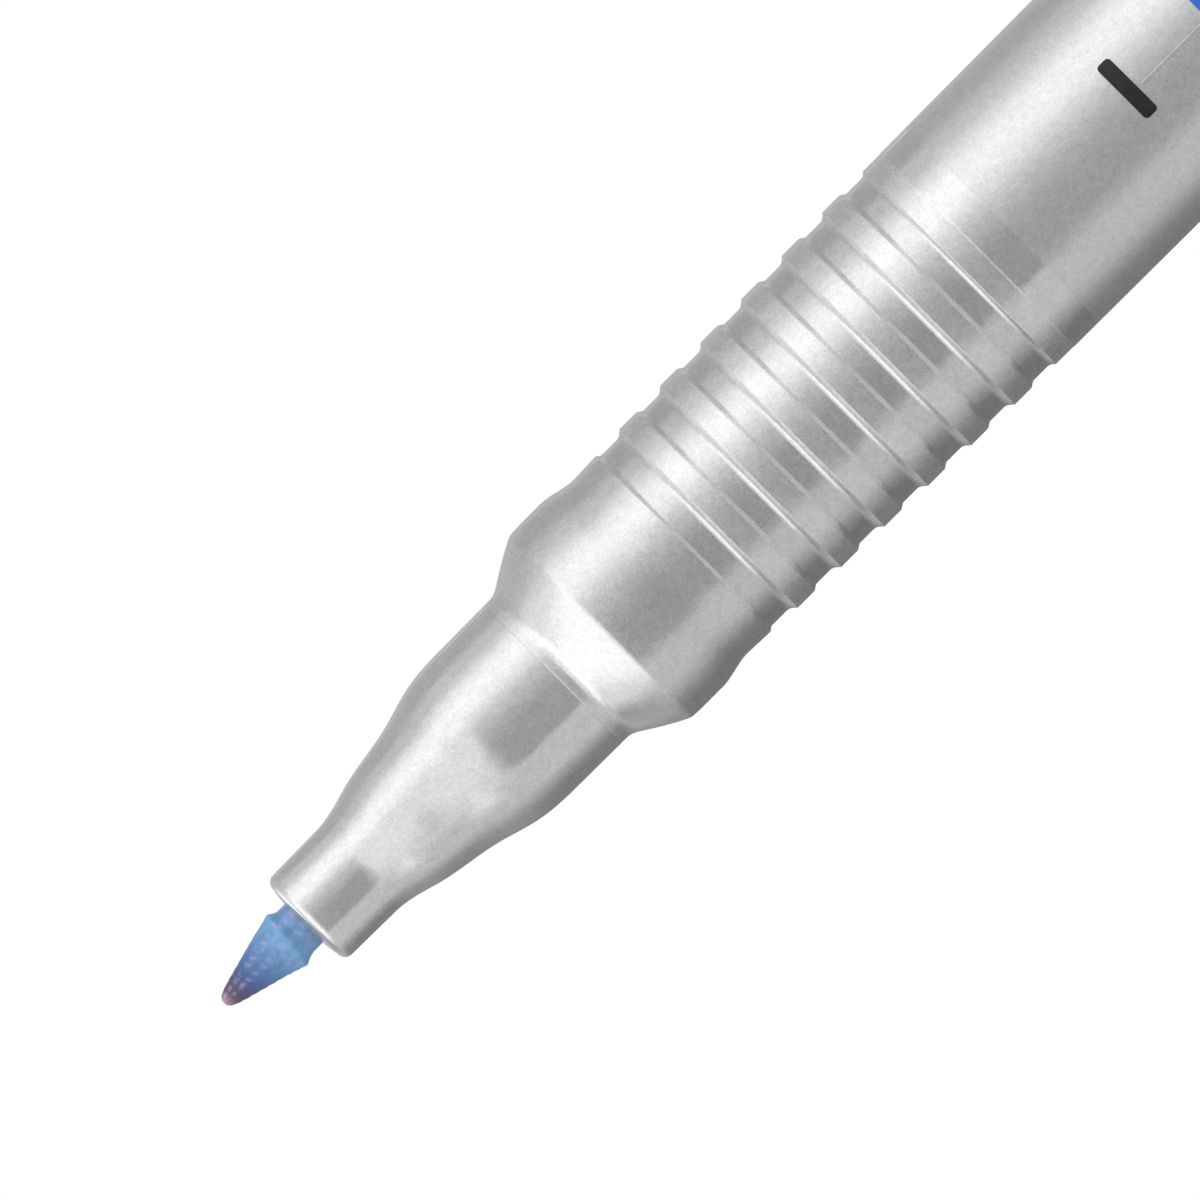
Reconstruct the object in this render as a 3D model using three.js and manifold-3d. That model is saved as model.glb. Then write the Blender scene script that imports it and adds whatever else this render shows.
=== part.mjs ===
// A fibre-tip marker with a silver barrel, standing nib up on the closed end of its posted cap.
// Millimetres. +Z runs along the pen towards the nib, and the origin is the centre of the cap's end face.

import * as THREE from "three";
import { mergeVertices } from "three/addons/utils/BufferGeometryUtils.js";
import Module from "manifold-3d";

const wasm = await Module();
wasm.setup();

// Facets round every turned piece: one count for all, so that nested pieces keep parallel facets.
const FACETS = 32;
const CURVE_STEPS = 6;
const FILLET_STEPS = 3;
const MERGE_TOLERANCE = 1e-4;

// Clearances
const PRESS_GAP = 0.05;
const END_GAP = 0.3;
const POST_GAP = 0.1;
const SEAL_GAP = 0.04;
const CUT_OVERRUN = 1;

// Nib
const NIB_REACH = 4.87;
const NIB_POINT_R = 0.44;
const NIB_POINT_HALF_ANGLE = THREE.MathUtils.degToRad(15.1);
const NIB_ROD_R = 1.135;
const NIB_COLLAR_R = 1.285;
const NIB_COLLAR_LENGTH = 0.2;
const NIB_COLLAR_BACK = 0.5;
const NIB_IN_RESERVOIR = 6.4;

// Nose cone, from its front face backwards
const NOSE_FRONT_R = 2.33;
const NOSE_LAND_R = 2.36;
const NOSE_LAND_LENGTH = 2.63;
const NOSE_FRONT_FILLET = 0.6;
const NOSE_STEP_R = 3.15;
const NOSE_STEP_SLOPE = 0.1;
const NOSE_FIRST_FLARE = 4.2;
const NOSE_COLLAR_R = 4.02;
const NOSE_SECOND_FLARE = 4.25;
const NOSE_COLLAR_LENGTH = 3.45;
const SEAM_R = 4.05;
const NIB_GUIDE_LENGTH = 7.5;
const NOSE_HOLLOW_R = 2.1;
const SHANK_R = 3.25;
const SHANK_LENGTH = 8;
const SHANK_LEAD = 0.4;

// Barrel, from the seam backwards
const SEAM_COLLAR_LENGTH = 0.56;
const SHOULDER_LENGTH = 2.19;
const SHOULDER_R = 5.31;
const SHOULDER_FRONT_SLOPE = 0.64;
const SHOULDER_BACK_SLOPE = 0.5;
const BULGE_R = 5.385;
const BULGE_ROUNDING = 0.55;
const BULGE_LENGTH = 1.3;
const WAIST_R = 5.115;
const WAIST_FLARE = 1.75;
const WAIST_LENGTH = 1.5;
const GRIP_START_R = 5.165;
const GROOVES = 7;
const FIRST_GROOVE_LENGTH = 1.13;
const GROOVE_LENGTH = 1.055;
const GROOVE_DEPTH = 0.24;
const RIB_LENGTH = 1.42;
const FIRST_RIB_R = 5.26;
const RIB_GROWTH = 0.0816;
const RIB_CHAMFER = 0.19;
const BODY_FRONT_R = 5.7;
const BODY_REAR_R = 6;
const BODY_LENGTH = 71.77;
const BODY_EDGE = 0.3;
const CHAMBER_R = 4.45;
const CENTRING_RIBS = 6;
const CENTRING_RIB_WIDTH = 0.8;
const CENTRING_RIB_MARGIN = 6;

// Ink reservoir and its film sleeve
const RESERVOIR_R = 3.95;
const SLEEVE_WALL = 0.1;
const SLEEVE_SETBACK = 1.5;

// Tail plug
const TAIL_LENGTH = 10;
const TAIL_R = 5.4;
const TAIL_END_R = 4.5;
const TAIL_ROUNDING = 1.4;
const TAIL_WALL = 1.2;
const PLUG_R = 4.85;
const PLUG_LENGTH = 8;
const POST_OUTER_R = 3.4;
const POST_INNER_R = 2.5;
const POST_REACH = 4.9;
const POST_NOTCHES = 4;
const POST_NOTCH_WIDTH = 1.6;
const POST_NOTCH_DEPTH = 3;

// Cap, from its closed end towards its mouth
const CAP_LENGTH = 40;
const CAP_MOUTH_R = 6.35;
const CAP_END_R = 5.6;
const CAP_END_ROUNDING = 0.8;
const CAP_END_WALL = 1.6;
const CAP_BORE_DEPTH = 13;
const CAP_CORE_R = 4.6;
const CAP_BAND_LENGTH = 3.2;
const CAP_BAND_RISE = 0.12;
const MOUTH_CHAMFER = 0.25;
const CAP_RIBS = 4;
const CAP_RIB_WIDTH = 0.9;
const CAP_RIB_TURN = 0.5;
const VENTS = 2;
const VENT_WIDTH = 1.3;
const VENT_LENGTH = 3.4;
const VENT_OFFSET = 2.9;

// Inner cap
const FLANGE_DEPTH = 15.8;
const FLANGE_THICKNESS = 1.2;
const INNER_CAP_R = 3.4;
const INNER_CAP_LENGTH = 14;
const INNER_CAP_END_WALL = 1;
const LEAD_IN_LENGTH = 3;
const LEAD_IN_R = 3.25;
const SEAL_LENGTH = 3.7;
const NIB_ROOM_R = 2;

// Clip
const CLIP_WIDTH = 4;
const CLIP_THICKNESS = 1.3;
const CLIP_FOOT_Z = 2;
const CLIP_TOP_Z = 34;
const CLIP_STANDOFF = 1.3;
const CLIP_TIP_FLARE = 0.7;
const CLIP_TIP_LENGTH = 2.6;
const CLIP_TIP_THICKNESS = 0.65;
const CLIP_FOOT_ROUNDING = 0.45;
const CLIP_BUMP_LENGTH = 4.4;
const BOSS_HEIGHT = 4.8;
const BOSS_ROOT_DEPTH = 0.4;

// Heights of the joints between the pieces
const TAIL_END_Z = CAP_LENGTH - TAIL_LENGTH;
const BARREL_END_Z = CAP_LENGTH;
const GRIP_LENGTH = FIRST_GROOVE_LENGTH + (GROOVES - 1) * (GROOVE_LENGTH + RIB_LENGTH);
const GRIP_END_Z = BARREL_END_Z + BODY_LENGTH;
const GRIP_START_Z = GRIP_END_Z + GRIP_LENGTH;
const WAIST_Z = GRIP_START_Z + WAIST_LENGTH;
const BULGE_BACK_Z = WAIST_Z + WAIST_FLARE;
const BULGE_FRONT_Z = BULGE_BACK_Z + BULGE_LENGTH;
const SHOULDER_BACK_Z = BULGE_FRONT_Z + BULGE_ROUNDING;
const SHOULDER_FRONT_Z = SHOULDER_BACK_Z + SHOULDER_LENGTH;
const SEAM_Z = SHOULDER_FRONT_Z + SEAM_COLLAR_LENGTH;
const NOSE_COLLAR_Z = SEAM_Z + NOSE_COLLAR_LENGTH;
const NOSE_STEP_Z = NOSE_COLLAR_Z + NOSE_SECOND_FLARE;
const NOSE_LAND_Z = NOSE_STEP_Z + NOSE_FIRST_FLARE;
const NOSE_FRONT_Z = NOSE_LAND_Z + NOSE_LAND_LENGTH;
const TIP_Z = NOSE_FRONT_Z + NIB_REACH;
const SHANK_END_Z = SEAM_Z - SHANK_LENGTH;
const CHAMBER_FRONT_Z = SHANK_END_Z - END_GAP;
const NIB_END_Z = CHAMBER_FRONT_Z - NIB_IN_RESERVOIR;
const PLUG_TOP_Z = BARREL_END_Z + PLUG_LENGTH;
const RESERVOIR_END_Z = PLUG_TOP_Z + POST_REACH;
const FLANGE_Z = CAP_LENGTH - FLANGE_DEPTH;
const FLANGE_SEAT_Z = FLANGE_Z - FLANGE_THICKNESS;

// Radii that one piece takes from another
const NIB_BORE_R = NIB_ROD_R + PRESS_GAP;
const SHANK_BORE_R = SHANK_R + PRESS_GAP;
const SLEEVE_INNER_R = RESERVOIR_R + PRESS_GAP;
const SLEEVE_OUTER_R = SLEEVE_INNER_R + SLEEVE_WALL;
const CENTRING_R = SLEEVE_OUTER_R + PRESS_GAP;
const PLUG_BORE_R = PLUG_R + PRESS_GAP;
const CAP_BORE_R = TAIL_R + POST_GAP;
const FLANGE_R = CAP_CORE_R - POST_GAP;
const CAP_RIB_R = INNER_CAP_R + POST_GAP;
const SEAL_R = NOSE_LAND_R + SEAL_GAP;

// Materials
const plastic = (color, metalness, roughness) =>
  new THREE.MeshStandardMaterial({ color, metalness, roughness });
const silverPlastic = plastic(0xb4b6b8, 0.7, 0.35);
const bluePlastic = plastic(0x1f5fb8, 0, 0.3);
const nibFibre = plastic(0x6f9bd0, 0, 0.5);
const coreFibre = plastic(0x2a4f9c, 0, 0.9);
const film = plastic(0xdfe6ec, 0, 0.2);
const sealPlastic = plastic(0xe9ecee, 0, 0.45);

// A turned solid about Z from points of [radius, height] that start and end on the axis or close on themselves.
function turned(points) {
  const outline = points.map(([r, z]) => new THREE.Vector2(r, z));
  const onAxis = points[0][0] === 0;
  if (!onAxis) outline.push(outline[0].clone());
  if (THREE.ShapeUtils.area(outline) < 0) outline.reverse();
  const geometry = new THREE.LatheGeometry(outline, FACETS);
  return geometry.rotateX(Math.PI / 2);
}

// Points of a smooth curve between two places [radius, height, slope], both ends included.
// A slope is the loss of radius with height, and is 0 where it is left out.
function flare([fromR, fromZ, fromSlope = 0], [toR, toZ, toSlope = 0]) {
  const rise = toZ - fromZ;
  return Array.from({ length: CURVE_STEPS + 1 }, (_, i) => {
    const t = i / CURVE_STEPS;
    const step = (toR - fromR) * THREE.MathUtils.smoothstep(t, 0, 1);
    const lean = t * (1 - t) * rise * (t * toSlope - (1 - t) * fromSlope);
    return [fromR + step + lean, fromZ + rise * t];
  });
}

// Points of an arc about a centre, from one angle to another in degrees, 0 pointing outwards and 90 up.
function arc(centreR, centreZ, radius, fromDegrees, toDegrees) {
  return Array.from({ length: FILLET_STEPS + 1 }, (_, i) => {
    const angle = THREE.MathUtils.degToRad(
      fromDegrees + ((toDegrees - fromDegrees) * i) / FILLET_STEPS,
    );
    return [centreR + radius * Math.cos(angle), centreZ + radius * Math.sin(angle)];
  });
}

// A box between two corners.
function box(low, high) {
  const size = high.map((value, k) => value - low[k]);
  const centre = high.map((value, k) => (value + low[k]) / 2);
  return new THREE.BoxGeometry(...size).translate(...centre);
}

// Copies of a geometry spaced evenly round Z, the first turned by a part of the spacing.
function roundZ(geometry, count, firstTurn = 0) {
  return Array.from({ length: count }, (_, i) =>
    geometry.clone().rotateZ(((i + firstTurn) * 2 * Math.PI) / count),
  );
}

function toSolid(geometry) {
  const bare = geometry.clone();
  bare.deleteAttribute("normal");
  bare.deleteAttribute("uv");
  const merged = mergeVertices(bare, MERGE_TOLERANCE);
  return new wasm.Manifold(
    new wasm.Mesh({
      numProp: 3,
      vertProperties: new Float32Array(merged.attributes.position.array),
      triVerts: new Uint32Array(merged.index.array),
    }),
  );
}

function toGeometry(solid) {
  const { vertProperties, triVerts, numProp } = solid.getMesh();
  const indexed = new THREE.BufferGeometry();
  const positions = new THREE.InterleavedBuffer(vertProperties, numProp);
  indexed.setAttribute("position", new THREE.InterleavedBufferAttribute(positions, 3, 0));
  indexed.setIndex(new THREE.BufferAttribute(triVerts, 1));
  const geometry = indexed.toNonIndexed();
  geometry.computeVertexNormals();
  return geometry;
}

// One geometry with others joined to it and others cut from it.
function shaped(base, { join = [], cut = [] }) {
  let solid = toSolid(base);
  for (const piece of join) solid = solid.add(toSolid(piece));
  for (const piece of cut) solid = solid.subtract(toSolid(piece));
  return toGeometry(solid);
}

function named(name, geometry, material) {
  const mesh = new THREE.Mesh(geometry, material);
  mesh.name = name;
  return mesh;
}

// The fibre nib: a rod with a collar in front of the nose and a ball-ended cone.
function nib() {
  const ballZ = TIP_Z - NIB_POINT_R;
  const tangentDegrees = THREE.MathUtils.radToDeg(NIB_POINT_HALF_ANGLE);
  const tangentZ = ballZ + NIB_POINT_R * Math.sin(NIB_POINT_HALF_ANGLE);
  const tangentR = NIB_POINT_R * Math.cos(NIB_POINT_HALF_ANGLE);
  const collarZ = tangentZ - (NIB_COLLAR_R - tangentR) / Math.tan(NIB_POINT_HALF_ANGLE);
  const ball = arc(0, ballZ, NIB_POINT_R, tangentDegrees, 90).slice(0, -1);
  return named(
    "nib",
    turned([
      [0, NIB_END_Z],
      [NIB_ROD_R, NIB_END_Z],
      [NIB_ROD_R, collarZ - NIB_COLLAR_LENGTH - NIB_COLLAR_BACK],
      [NIB_COLLAR_R, collarZ - NIB_COLLAR_LENGTH],
      [NIB_COLLAR_R, collarZ],
      ...ball,
      [0, TIP_Z],
    ]),
    nibFibre,
  );
}

// The nose: a short land, two soft flares and a collar, with a shank behind that presses into the barrel.
function noseCone() {
  const filletR = NOSE_FRONT_R - NOSE_FRONT_FILLET;
  const filletZ = NOSE_FRONT_Z - NOSE_FRONT_FILLET;
  return named(
    "nose_cone",
    turned([
      [NOSE_HOLLOW_R, SHANK_END_Z],
      [SHANK_R - SHANK_LEAD, SHANK_END_Z],
      [SHANK_R, SHANK_END_Z + SHANK_LEAD],
      [SHANK_R, SEAM_Z],
      [SEAM_R, SEAM_Z],
      ...flare([NOSE_COLLAR_R, NOSE_COLLAR_Z], [NOSE_STEP_R, NOSE_STEP_Z, NOSE_STEP_SLOPE]),
      ...flare([NOSE_STEP_R, NOSE_STEP_Z, NOSE_STEP_SLOPE], [NOSE_LAND_R, NOSE_LAND_Z]).slice(1),
      ...arc(filletR, filletZ, NOSE_FRONT_FILLET, 0, 90),
      [NIB_BORE_R, NOSE_FRONT_Z],
      [NIB_BORE_R, NOSE_FRONT_Z - NIB_GUIDE_LENGTH],
      [NOSE_HOLLOW_R, NOSE_FRONT_Z - NIB_GUIDE_LENGTH - NOSE_HOLLOW_R],
    ]),
    silverPlastic,
  );
}

// Outline of the grip from its front end backwards: grooves between ribs that grow towards the barrel's body.
function gripOutline() {
  const points = [];
  let z = GRIP_START_Z;
  for (let k = 0; k < GROOVES; k += 1) {
    const ribR = FIRST_RIB_R + RIB_GROWTH * k;
    const grooveR = ribR - GROOVE_DEPTH;
    const grooveEnd = z - (k === 0 ? FIRST_GROOVE_LENGTH : GROOVE_LENGTH);
    points.push([grooveR, z], [grooveR, grooveEnd]);
    z = grooveEnd;
    if (k < GROOVES - 1) {
      z -= RIB_LENGTH;
      points.push([ribR, grooveEnd - RIB_CHAMFER], [ribR, z + RIB_CHAMFER]);
    }
  }
  return points;
}

// The barrel: collar, shoulder, bulge that the cap snaps over, waist, grip and body, hollow for the reservoir.
function barrel() {
  const outline = [
    [PLUG_BORE_R, PLUG_TOP_Z],
    [PLUG_BORE_R, BARREL_END_Z],
    [BODY_REAR_R - BODY_EDGE, BARREL_END_Z],
    [BODY_REAR_R, BARREL_END_Z + BODY_EDGE],
    [BODY_FRONT_R, GRIP_END_Z - RIB_CHAMFER],
    ...gripOutline().reverse(),
    [GRIP_START_R, GRIP_START_Z],
    ...flare([WAIST_R, WAIST_Z], [BULGE_R, BULGE_BACK_Z]),
    ...flare([BULGE_R, BULGE_FRONT_Z], [SHOULDER_R, SHOULDER_BACK_Z, SHOULDER_BACK_SLOPE]),
    ...flare(
      [SHOULDER_R, SHOULDER_BACK_Z, SHOULDER_BACK_SLOPE],
      [SEAM_R, SHOULDER_FRONT_Z, SHOULDER_FRONT_SLOPE],
    ).slice(1),
    [SEAM_R, SEAM_Z],
    [SHANK_BORE_R, SEAM_Z],
    [SHANK_BORE_R, CHAMBER_FRONT_Z],
    [CHAMBER_R, CHAMBER_FRONT_Z],
    [CHAMBER_R, PLUG_TOP_Z],
  ];
  const wallMiddle = (CHAMBER_R + WAIST_R) / 2;
  const centringRib = box(
    [CENTRING_R, -CENTRING_RIB_WIDTH / 2, PLUG_TOP_Z + CENTRING_RIB_MARGIN],
    [wallMiddle, CENTRING_RIB_WIDTH / 2, CHAMBER_FRONT_Z - CENTRING_RIB_MARGIN],
  );
  return named(
    "barrel",
    shaped(turned(outline), { join: roundZ(centringRib, CENTRING_RIBS) }),
    silverPlastic,
  );
}

// The fibre core with the hole that the nib's rear end is pushed into.
function inkReservoir() {
  const holeEnd = NIB_END_Z - END_GAP;
  return named(
    "ink_reservoir",
    turned([
      [0, RESERVOIR_END_Z],
      [RESERVOIR_R, RESERVOIR_END_Z],
      [RESERVOIR_R, CHAMBER_FRONT_Z],
      [NIB_BORE_R, CHAMBER_FRONT_Z],
      [NIB_BORE_R, holeEnd],
      [0, holeEnd],
    ]),
    coreFibre,
  );
}

// The film tube round the core.
function reservoirSleeve() {
  const low = RESERVOIR_END_Z + SLEEVE_SETBACK;
  const high = CHAMBER_FRONT_Z - SLEEVE_SETBACK;
  return named(
    "reservoir_sleeve",
    turned([
      [SLEEVE_INNER_R, low],
      [SLEEVE_OUTER_R, low],
      [SLEEVE_OUTER_R, high],
      [SLEEVE_INNER_R, high],
    ]),
    film,
  );
}

// The tail plug: a rounded cup that the cap is posted on, a press part in the barrel and a post behind the core.
function tailPlug() {
  const innerFloorZ = TAIL_END_Z + TAIL_WALL;
  const innerR = PLUG_R - TAIL_WALL;
  const outline = [
    [0, TAIL_END_Z],
    [TAIL_END_R, TAIL_END_Z],
    ...flare([TAIL_END_R, TAIL_END_Z], [TAIL_R, TAIL_END_Z + TAIL_ROUNDING]).slice(1),
    [TAIL_R, BARREL_END_Z],
    [PLUG_R, BARREL_END_Z],
    [PLUG_R, PLUG_TOP_Z],
    [innerR, PLUG_TOP_Z],
    [innerR, innerFloorZ],
    [POST_OUTER_R, innerFloorZ],
    [POST_OUTER_R, RESERVOIR_END_Z],
    [POST_INNER_R, RESERVOIR_END_Z],
    [POST_INNER_R, innerFloorZ],
    [0, innerFloorZ],
  ];
  const notchReach = (POST_OUTER_R + innerR) / 2;
  const notch = box(
    [POST_INNER_R / 2, -POST_NOTCH_WIDTH / 2, RESERVOIR_END_Z - POST_NOTCH_DEPTH],
    [notchReach, POST_NOTCH_WIDTH / 2, RESERVOIR_END_Z + CUT_OVERRUN],
  );
  return named("tail_plug", shaped(turned(outline), { cut: roundZ(notch, POST_NOTCHES) }), bluePlastic);
}

// Radius of the cap's outside at a height.
function capRadius(z) {
  return THREE.MathUtils.mapLinear(z, 0, CAP_LENGTH, CAP_END_R, CAP_MOUTH_R);
}

// Distance from the axis to the clip arm's inner face.
const CLIP_INNER = capRadius(CLIP_TOP_Z) + CLIP_STANDOFF;

// The outer cap: tapered tube, closed end with vents, ribs that carry the inner cap and the boss of the clip.
function capShell() {
  const bandZ = CAP_LENGTH - CAP_BAND_LENGTH;
  const bandR = CAP_MOUTH_R + CAP_BAND_RISE;
  const outline = [
    [0, 0],
    ...arc(CAP_END_R - CAP_END_ROUNDING, CAP_END_ROUNDING, CAP_END_ROUNDING, -90, 0),
    [capRadius(bandZ), bandZ],
    [bandR, bandZ + CAP_BAND_RISE],
    [bandR, CAP_LENGTH - MOUTH_CHAMFER],
    [bandR - MOUTH_CHAMFER, CAP_LENGTH],
    [CAP_BORE_R + MOUTH_CHAMFER, CAP_LENGTH],
    [CAP_BORE_R, CAP_LENGTH - MOUTH_CHAMFER],
    [CAP_BORE_R, CAP_LENGTH - CAP_BORE_DEPTH],
    [CAP_CORE_R, CAP_LENGTH - CAP_BORE_DEPTH - (CAP_BORE_R - CAP_CORE_R)],
    [CAP_CORE_R, CAP_END_WALL],
    [0, CAP_END_WALL],
  ];
  const rib = box(
    [CAP_RIB_R, -CAP_RIB_WIDTH / 2, CAP_END_WALL / 2],
    [(CAP_CORE_R + CAP_END_R) / 2, CAP_RIB_WIDTH / 2, FLANGE_SEAT_Z],
  );
  const bossBack = CAP_CORE_R + BOSS_ROOT_DEPTH;
  const boss = box(
    [-CLIP_WIDTH / 2, -(CLIP_INNER - END_GAP), CLIP_FOOT_Z],
    [CLIP_WIDTH / 2, -bossBack, CLIP_FOOT_Z + BOSS_HEIGHT],
  );
  const vent = box(
    [VENT_OFFSET - VENT_WIDTH / 2, -VENT_LENGTH / 2, -CUT_OVERRUN],
    [VENT_OFFSET + VENT_WIDTH / 2, VENT_LENGTH / 2, CAP_END_WALL + CUT_OVERRUN],
  );
  return named(
    "cap_shell",
    shaped(turned(outline), {
      join: [...roundZ(rib, CAP_RIBS, CAP_RIB_TURN), boss],
      cut: roundZ(vent, VENTS),
    }),
    bluePlastic,
  );
}

// The inner cap: a flanged cup that seals round the nose when the pen is capped.
function innerCap() {
  const endZ = FLANGE_Z - INNER_CAP_LENGTH;
  const leadZ = FLANGE_Z - LEAD_IN_LENGTH;
  const sealEndZ = leadZ - SEAL_LENGTH;
  return named(
    "inner_cap",
    turned([
      [0, endZ],
      [INNER_CAP_R, endZ],
      [INNER_CAP_R, FLANGE_SEAT_Z],
      [FLANGE_R, FLANGE_SEAT_Z],
      [FLANGE_R, FLANGE_Z],
      [LEAD_IN_R, FLANGE_Z],
      [SEAL_R, leadZ],
      [SEAL_R, sealEndZ],
      [NIB_ROOM_R, sealEndZ],
      [NIB_ROOM_R, endZ + INNER_CAP_END_WALL],
      [0, endZ + INNER_CAP_END_WALL],
    ]),
    sealPlastic,
  );
}

// The clip: a flat spring arm that rises from the boss, with a bump that grips cloth and a tip turned outwards.
// Its outline is drawn as [distance from the axis, height] and extruded across its width.
function clip() {
  const outer = CLIP_INNER + CLIP_THICKNESS;
  const tipZ = CLIP_TOP_Z - CLIP_TIP_LENGTH;
  const bumpZ = tipZ - CLIP_BUMP_LENGTH;
  const bumpMiddleZ = (tipZ + bumpZ) / 2;
  const bumpPeak = 2 * (capRadius(CLIP_TOP_Z) + END_GAP) - CLIP_INNER;
  const side = new THREE.Shape();
  side.moveTo(CLIP_INNER, CLIP_FOOT_Z);
  side.lineTo(outer - CLIP_FOOT_ROUNDING, CLIP_FOOT_Z);
  side.quadraticCurveTo(outer, CLIP_FOOT_Z, outer, CLIP_FOOT_Z + CLIP_THICKNESS);
  side.lineTo(outer, tipZ);
  side.quadraticCurveTo(outer, CLIP_TOP_Z, outer + CLIP_TIP_FLARE, CLIP_TOP_Z);
  side.lineTo(outer + CLIP_TIP_FLARE - CLIP_TIP_THICKNESS, CLIP_TOP_Z);
  side.quadraticCurveTo(CLIP_INNER, CLIP_TOP_Z, CLIP_INNER, tipZ);
  side.quadraticCurveTo(bumpPeak, bumpMiddleZ, CLIP_INNER, bumpZ);
  const geometry = new THREE.ExtrudeGeometry(side, {
    depth: CLIP_WIDTH,
    bevelEnabled: false,
    curveSegments: CURVE_STEPS,
  });
  const outwards = new THREE.Vector3(0, -1, 0);
  const up = new THREE.Vector3(0, 0, 1);
  const across = new THREE.Vector3(-1, 0, 0);
  geometry.applyMatrix4(new THREE.Matrix4().makeBasis(outwards, up, across));
  geometry.translate(CLIP_WIDTH / 2, 0, 0);
  return named("clip", geometry, bluePlastic);
}

const marker = new THREE.Group();
marker.add(
  nib(),
  noseCone(),
  barrel(),
  inkReservoir(),
  reservoirSleeve(),
  tailPlug(),
  capShell(),
  innerCap(),
  clip(),
);

export default marker;
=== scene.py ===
"""Dresses a packed marker: fine turned surfaces, moulded plastics, ink-soaked nib and plain studio light.

The pen stands nib up on its posted cap. Outlines are in millimetres of radius and height, and meshes in
metres.
"""

import math

import bpy
from mathutils import Matrix, Vector


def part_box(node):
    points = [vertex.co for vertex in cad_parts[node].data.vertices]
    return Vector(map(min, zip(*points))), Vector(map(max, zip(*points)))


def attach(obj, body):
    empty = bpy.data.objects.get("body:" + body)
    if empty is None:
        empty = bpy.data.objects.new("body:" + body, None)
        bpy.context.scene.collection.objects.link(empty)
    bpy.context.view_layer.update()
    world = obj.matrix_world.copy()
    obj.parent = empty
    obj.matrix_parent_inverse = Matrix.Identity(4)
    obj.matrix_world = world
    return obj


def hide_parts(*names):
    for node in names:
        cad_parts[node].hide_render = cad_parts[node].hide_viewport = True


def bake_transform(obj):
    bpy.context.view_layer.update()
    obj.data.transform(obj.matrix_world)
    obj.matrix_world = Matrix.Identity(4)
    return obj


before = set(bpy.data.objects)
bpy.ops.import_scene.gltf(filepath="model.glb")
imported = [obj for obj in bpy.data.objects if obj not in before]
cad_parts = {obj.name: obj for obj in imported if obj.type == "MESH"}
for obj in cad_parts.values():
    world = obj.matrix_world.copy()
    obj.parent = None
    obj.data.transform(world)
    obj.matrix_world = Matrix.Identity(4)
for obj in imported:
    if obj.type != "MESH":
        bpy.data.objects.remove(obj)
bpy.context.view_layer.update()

MM = 0.001


def low(node, axis=2):
    """Lowest coordinate of a node, in millimetres."""
    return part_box(node)[0][axis] / MM


def high(node, axis=2):
    """Highest coordinate of a node, in millimetres."""
    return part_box(node)[1][axis] / MM


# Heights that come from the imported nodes
TIP_Z = high("nib")
NIB_END_Z = low("nib")
NOSE_FRONT_Z = high("nose_cone")
SHANK_END_Z = low("nose_cone")
SEAM_Z = high("barrel")
BARREL_END_Z = low("barrel")
POST_TOP_Z = high("tail_plug")
TAIL_END_Z = low("tail_plug")
CAP_MOUTH_Z = high("cap_shell")
FLANGE_Z = high("inner_cap")
INNER_CAP_END_Z = low("inner_cap")
CLIP_FOOT_Z = low("clip")
CLIP_TOP_Z = high("clip")

# Floor, in metres from the pen
FLOOR_REACH = 4.0
FLOOR_FADE_START = 0.03
FLOOR_FADE_END = 0.22
FLOOR_CLOUD = 400.0

# Distance of lamps and cards from the pen, in metres
STUDIO_DISTANCE = 0.5

# Camera: the span and centre of the picture in millimetres, the distance in metres
PHOTO_SPAN = 50.0
PHOTO_CENTRE_BEHIND_TIP = 22.96
PHOTO_OFF_AXIS = 0.798
CAMERA_DISTANCE = 1.5
SENSOR = 36.0

# Mesh fineness
SEGMENTS = 192
ARC_STEPS = 6
FLARE_STEPS = 28
NOSE_FLARE_STEPS = 16
SHARP_ANGLE = math.radians(38)
FILLET_ROOM = 0.98

# Fillets that several pieces share
FINE_FILLET = 0.05
EDGE_FILLET = 0.1
INNER_FILLET = 0.2
WIDE_FILLET = 0.3
ROUND_FILLET = 0.5

# Nib, from its tip backwards
NIB_POINT_R = 0.36
NIB_POINT_TANGENT = 28
NIB_CONE_START = 1.0
NIB_CONE_START_R = 0.607
NIB_CONE_SLOPE = math.tan(math.radians(15.1))
NIB_CONE_END = 3.4
NIB_CREST = 3.725
NIB_CREST_WIDTH = 0.05
NIB_CREST_LEAN = 0.125
NIB_CREST_BACK_SLOPE = -0.75
NIB_ROD_START = 4.3
NIB_ROD_R = 1.13
NIB_FINE_ROD_LENGTH = 0.6
NIB_RING_SPACING = 0.4
NIB_RING_DEPTH = 0.016
NIB_RING_STEP = 0.045
NIB_LOBES = 9
NIB_LOBE_TURN = math.radians(-6)
NIB_LOBE_DEPTH = 0.01
NIB_LOBE_SHARE = 0.3

# Behind the tip: where the nib's wear starts and ends, and where its crest's lean starts and ends
NIB_WEAR_START = (0.1, 0.8)
NIB_WEAR_END = (3.5, 3.9)
NIB_LEAN_START = (2.6, 3.6)
NIB_LEAN_END = (3.8, 4.4)

# Waves that shift the worn rings: count round the nib, size and phase
NIB_RING_WANDER = [(2, 0.5, 1), (5, 0.4, 0)]

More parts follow.
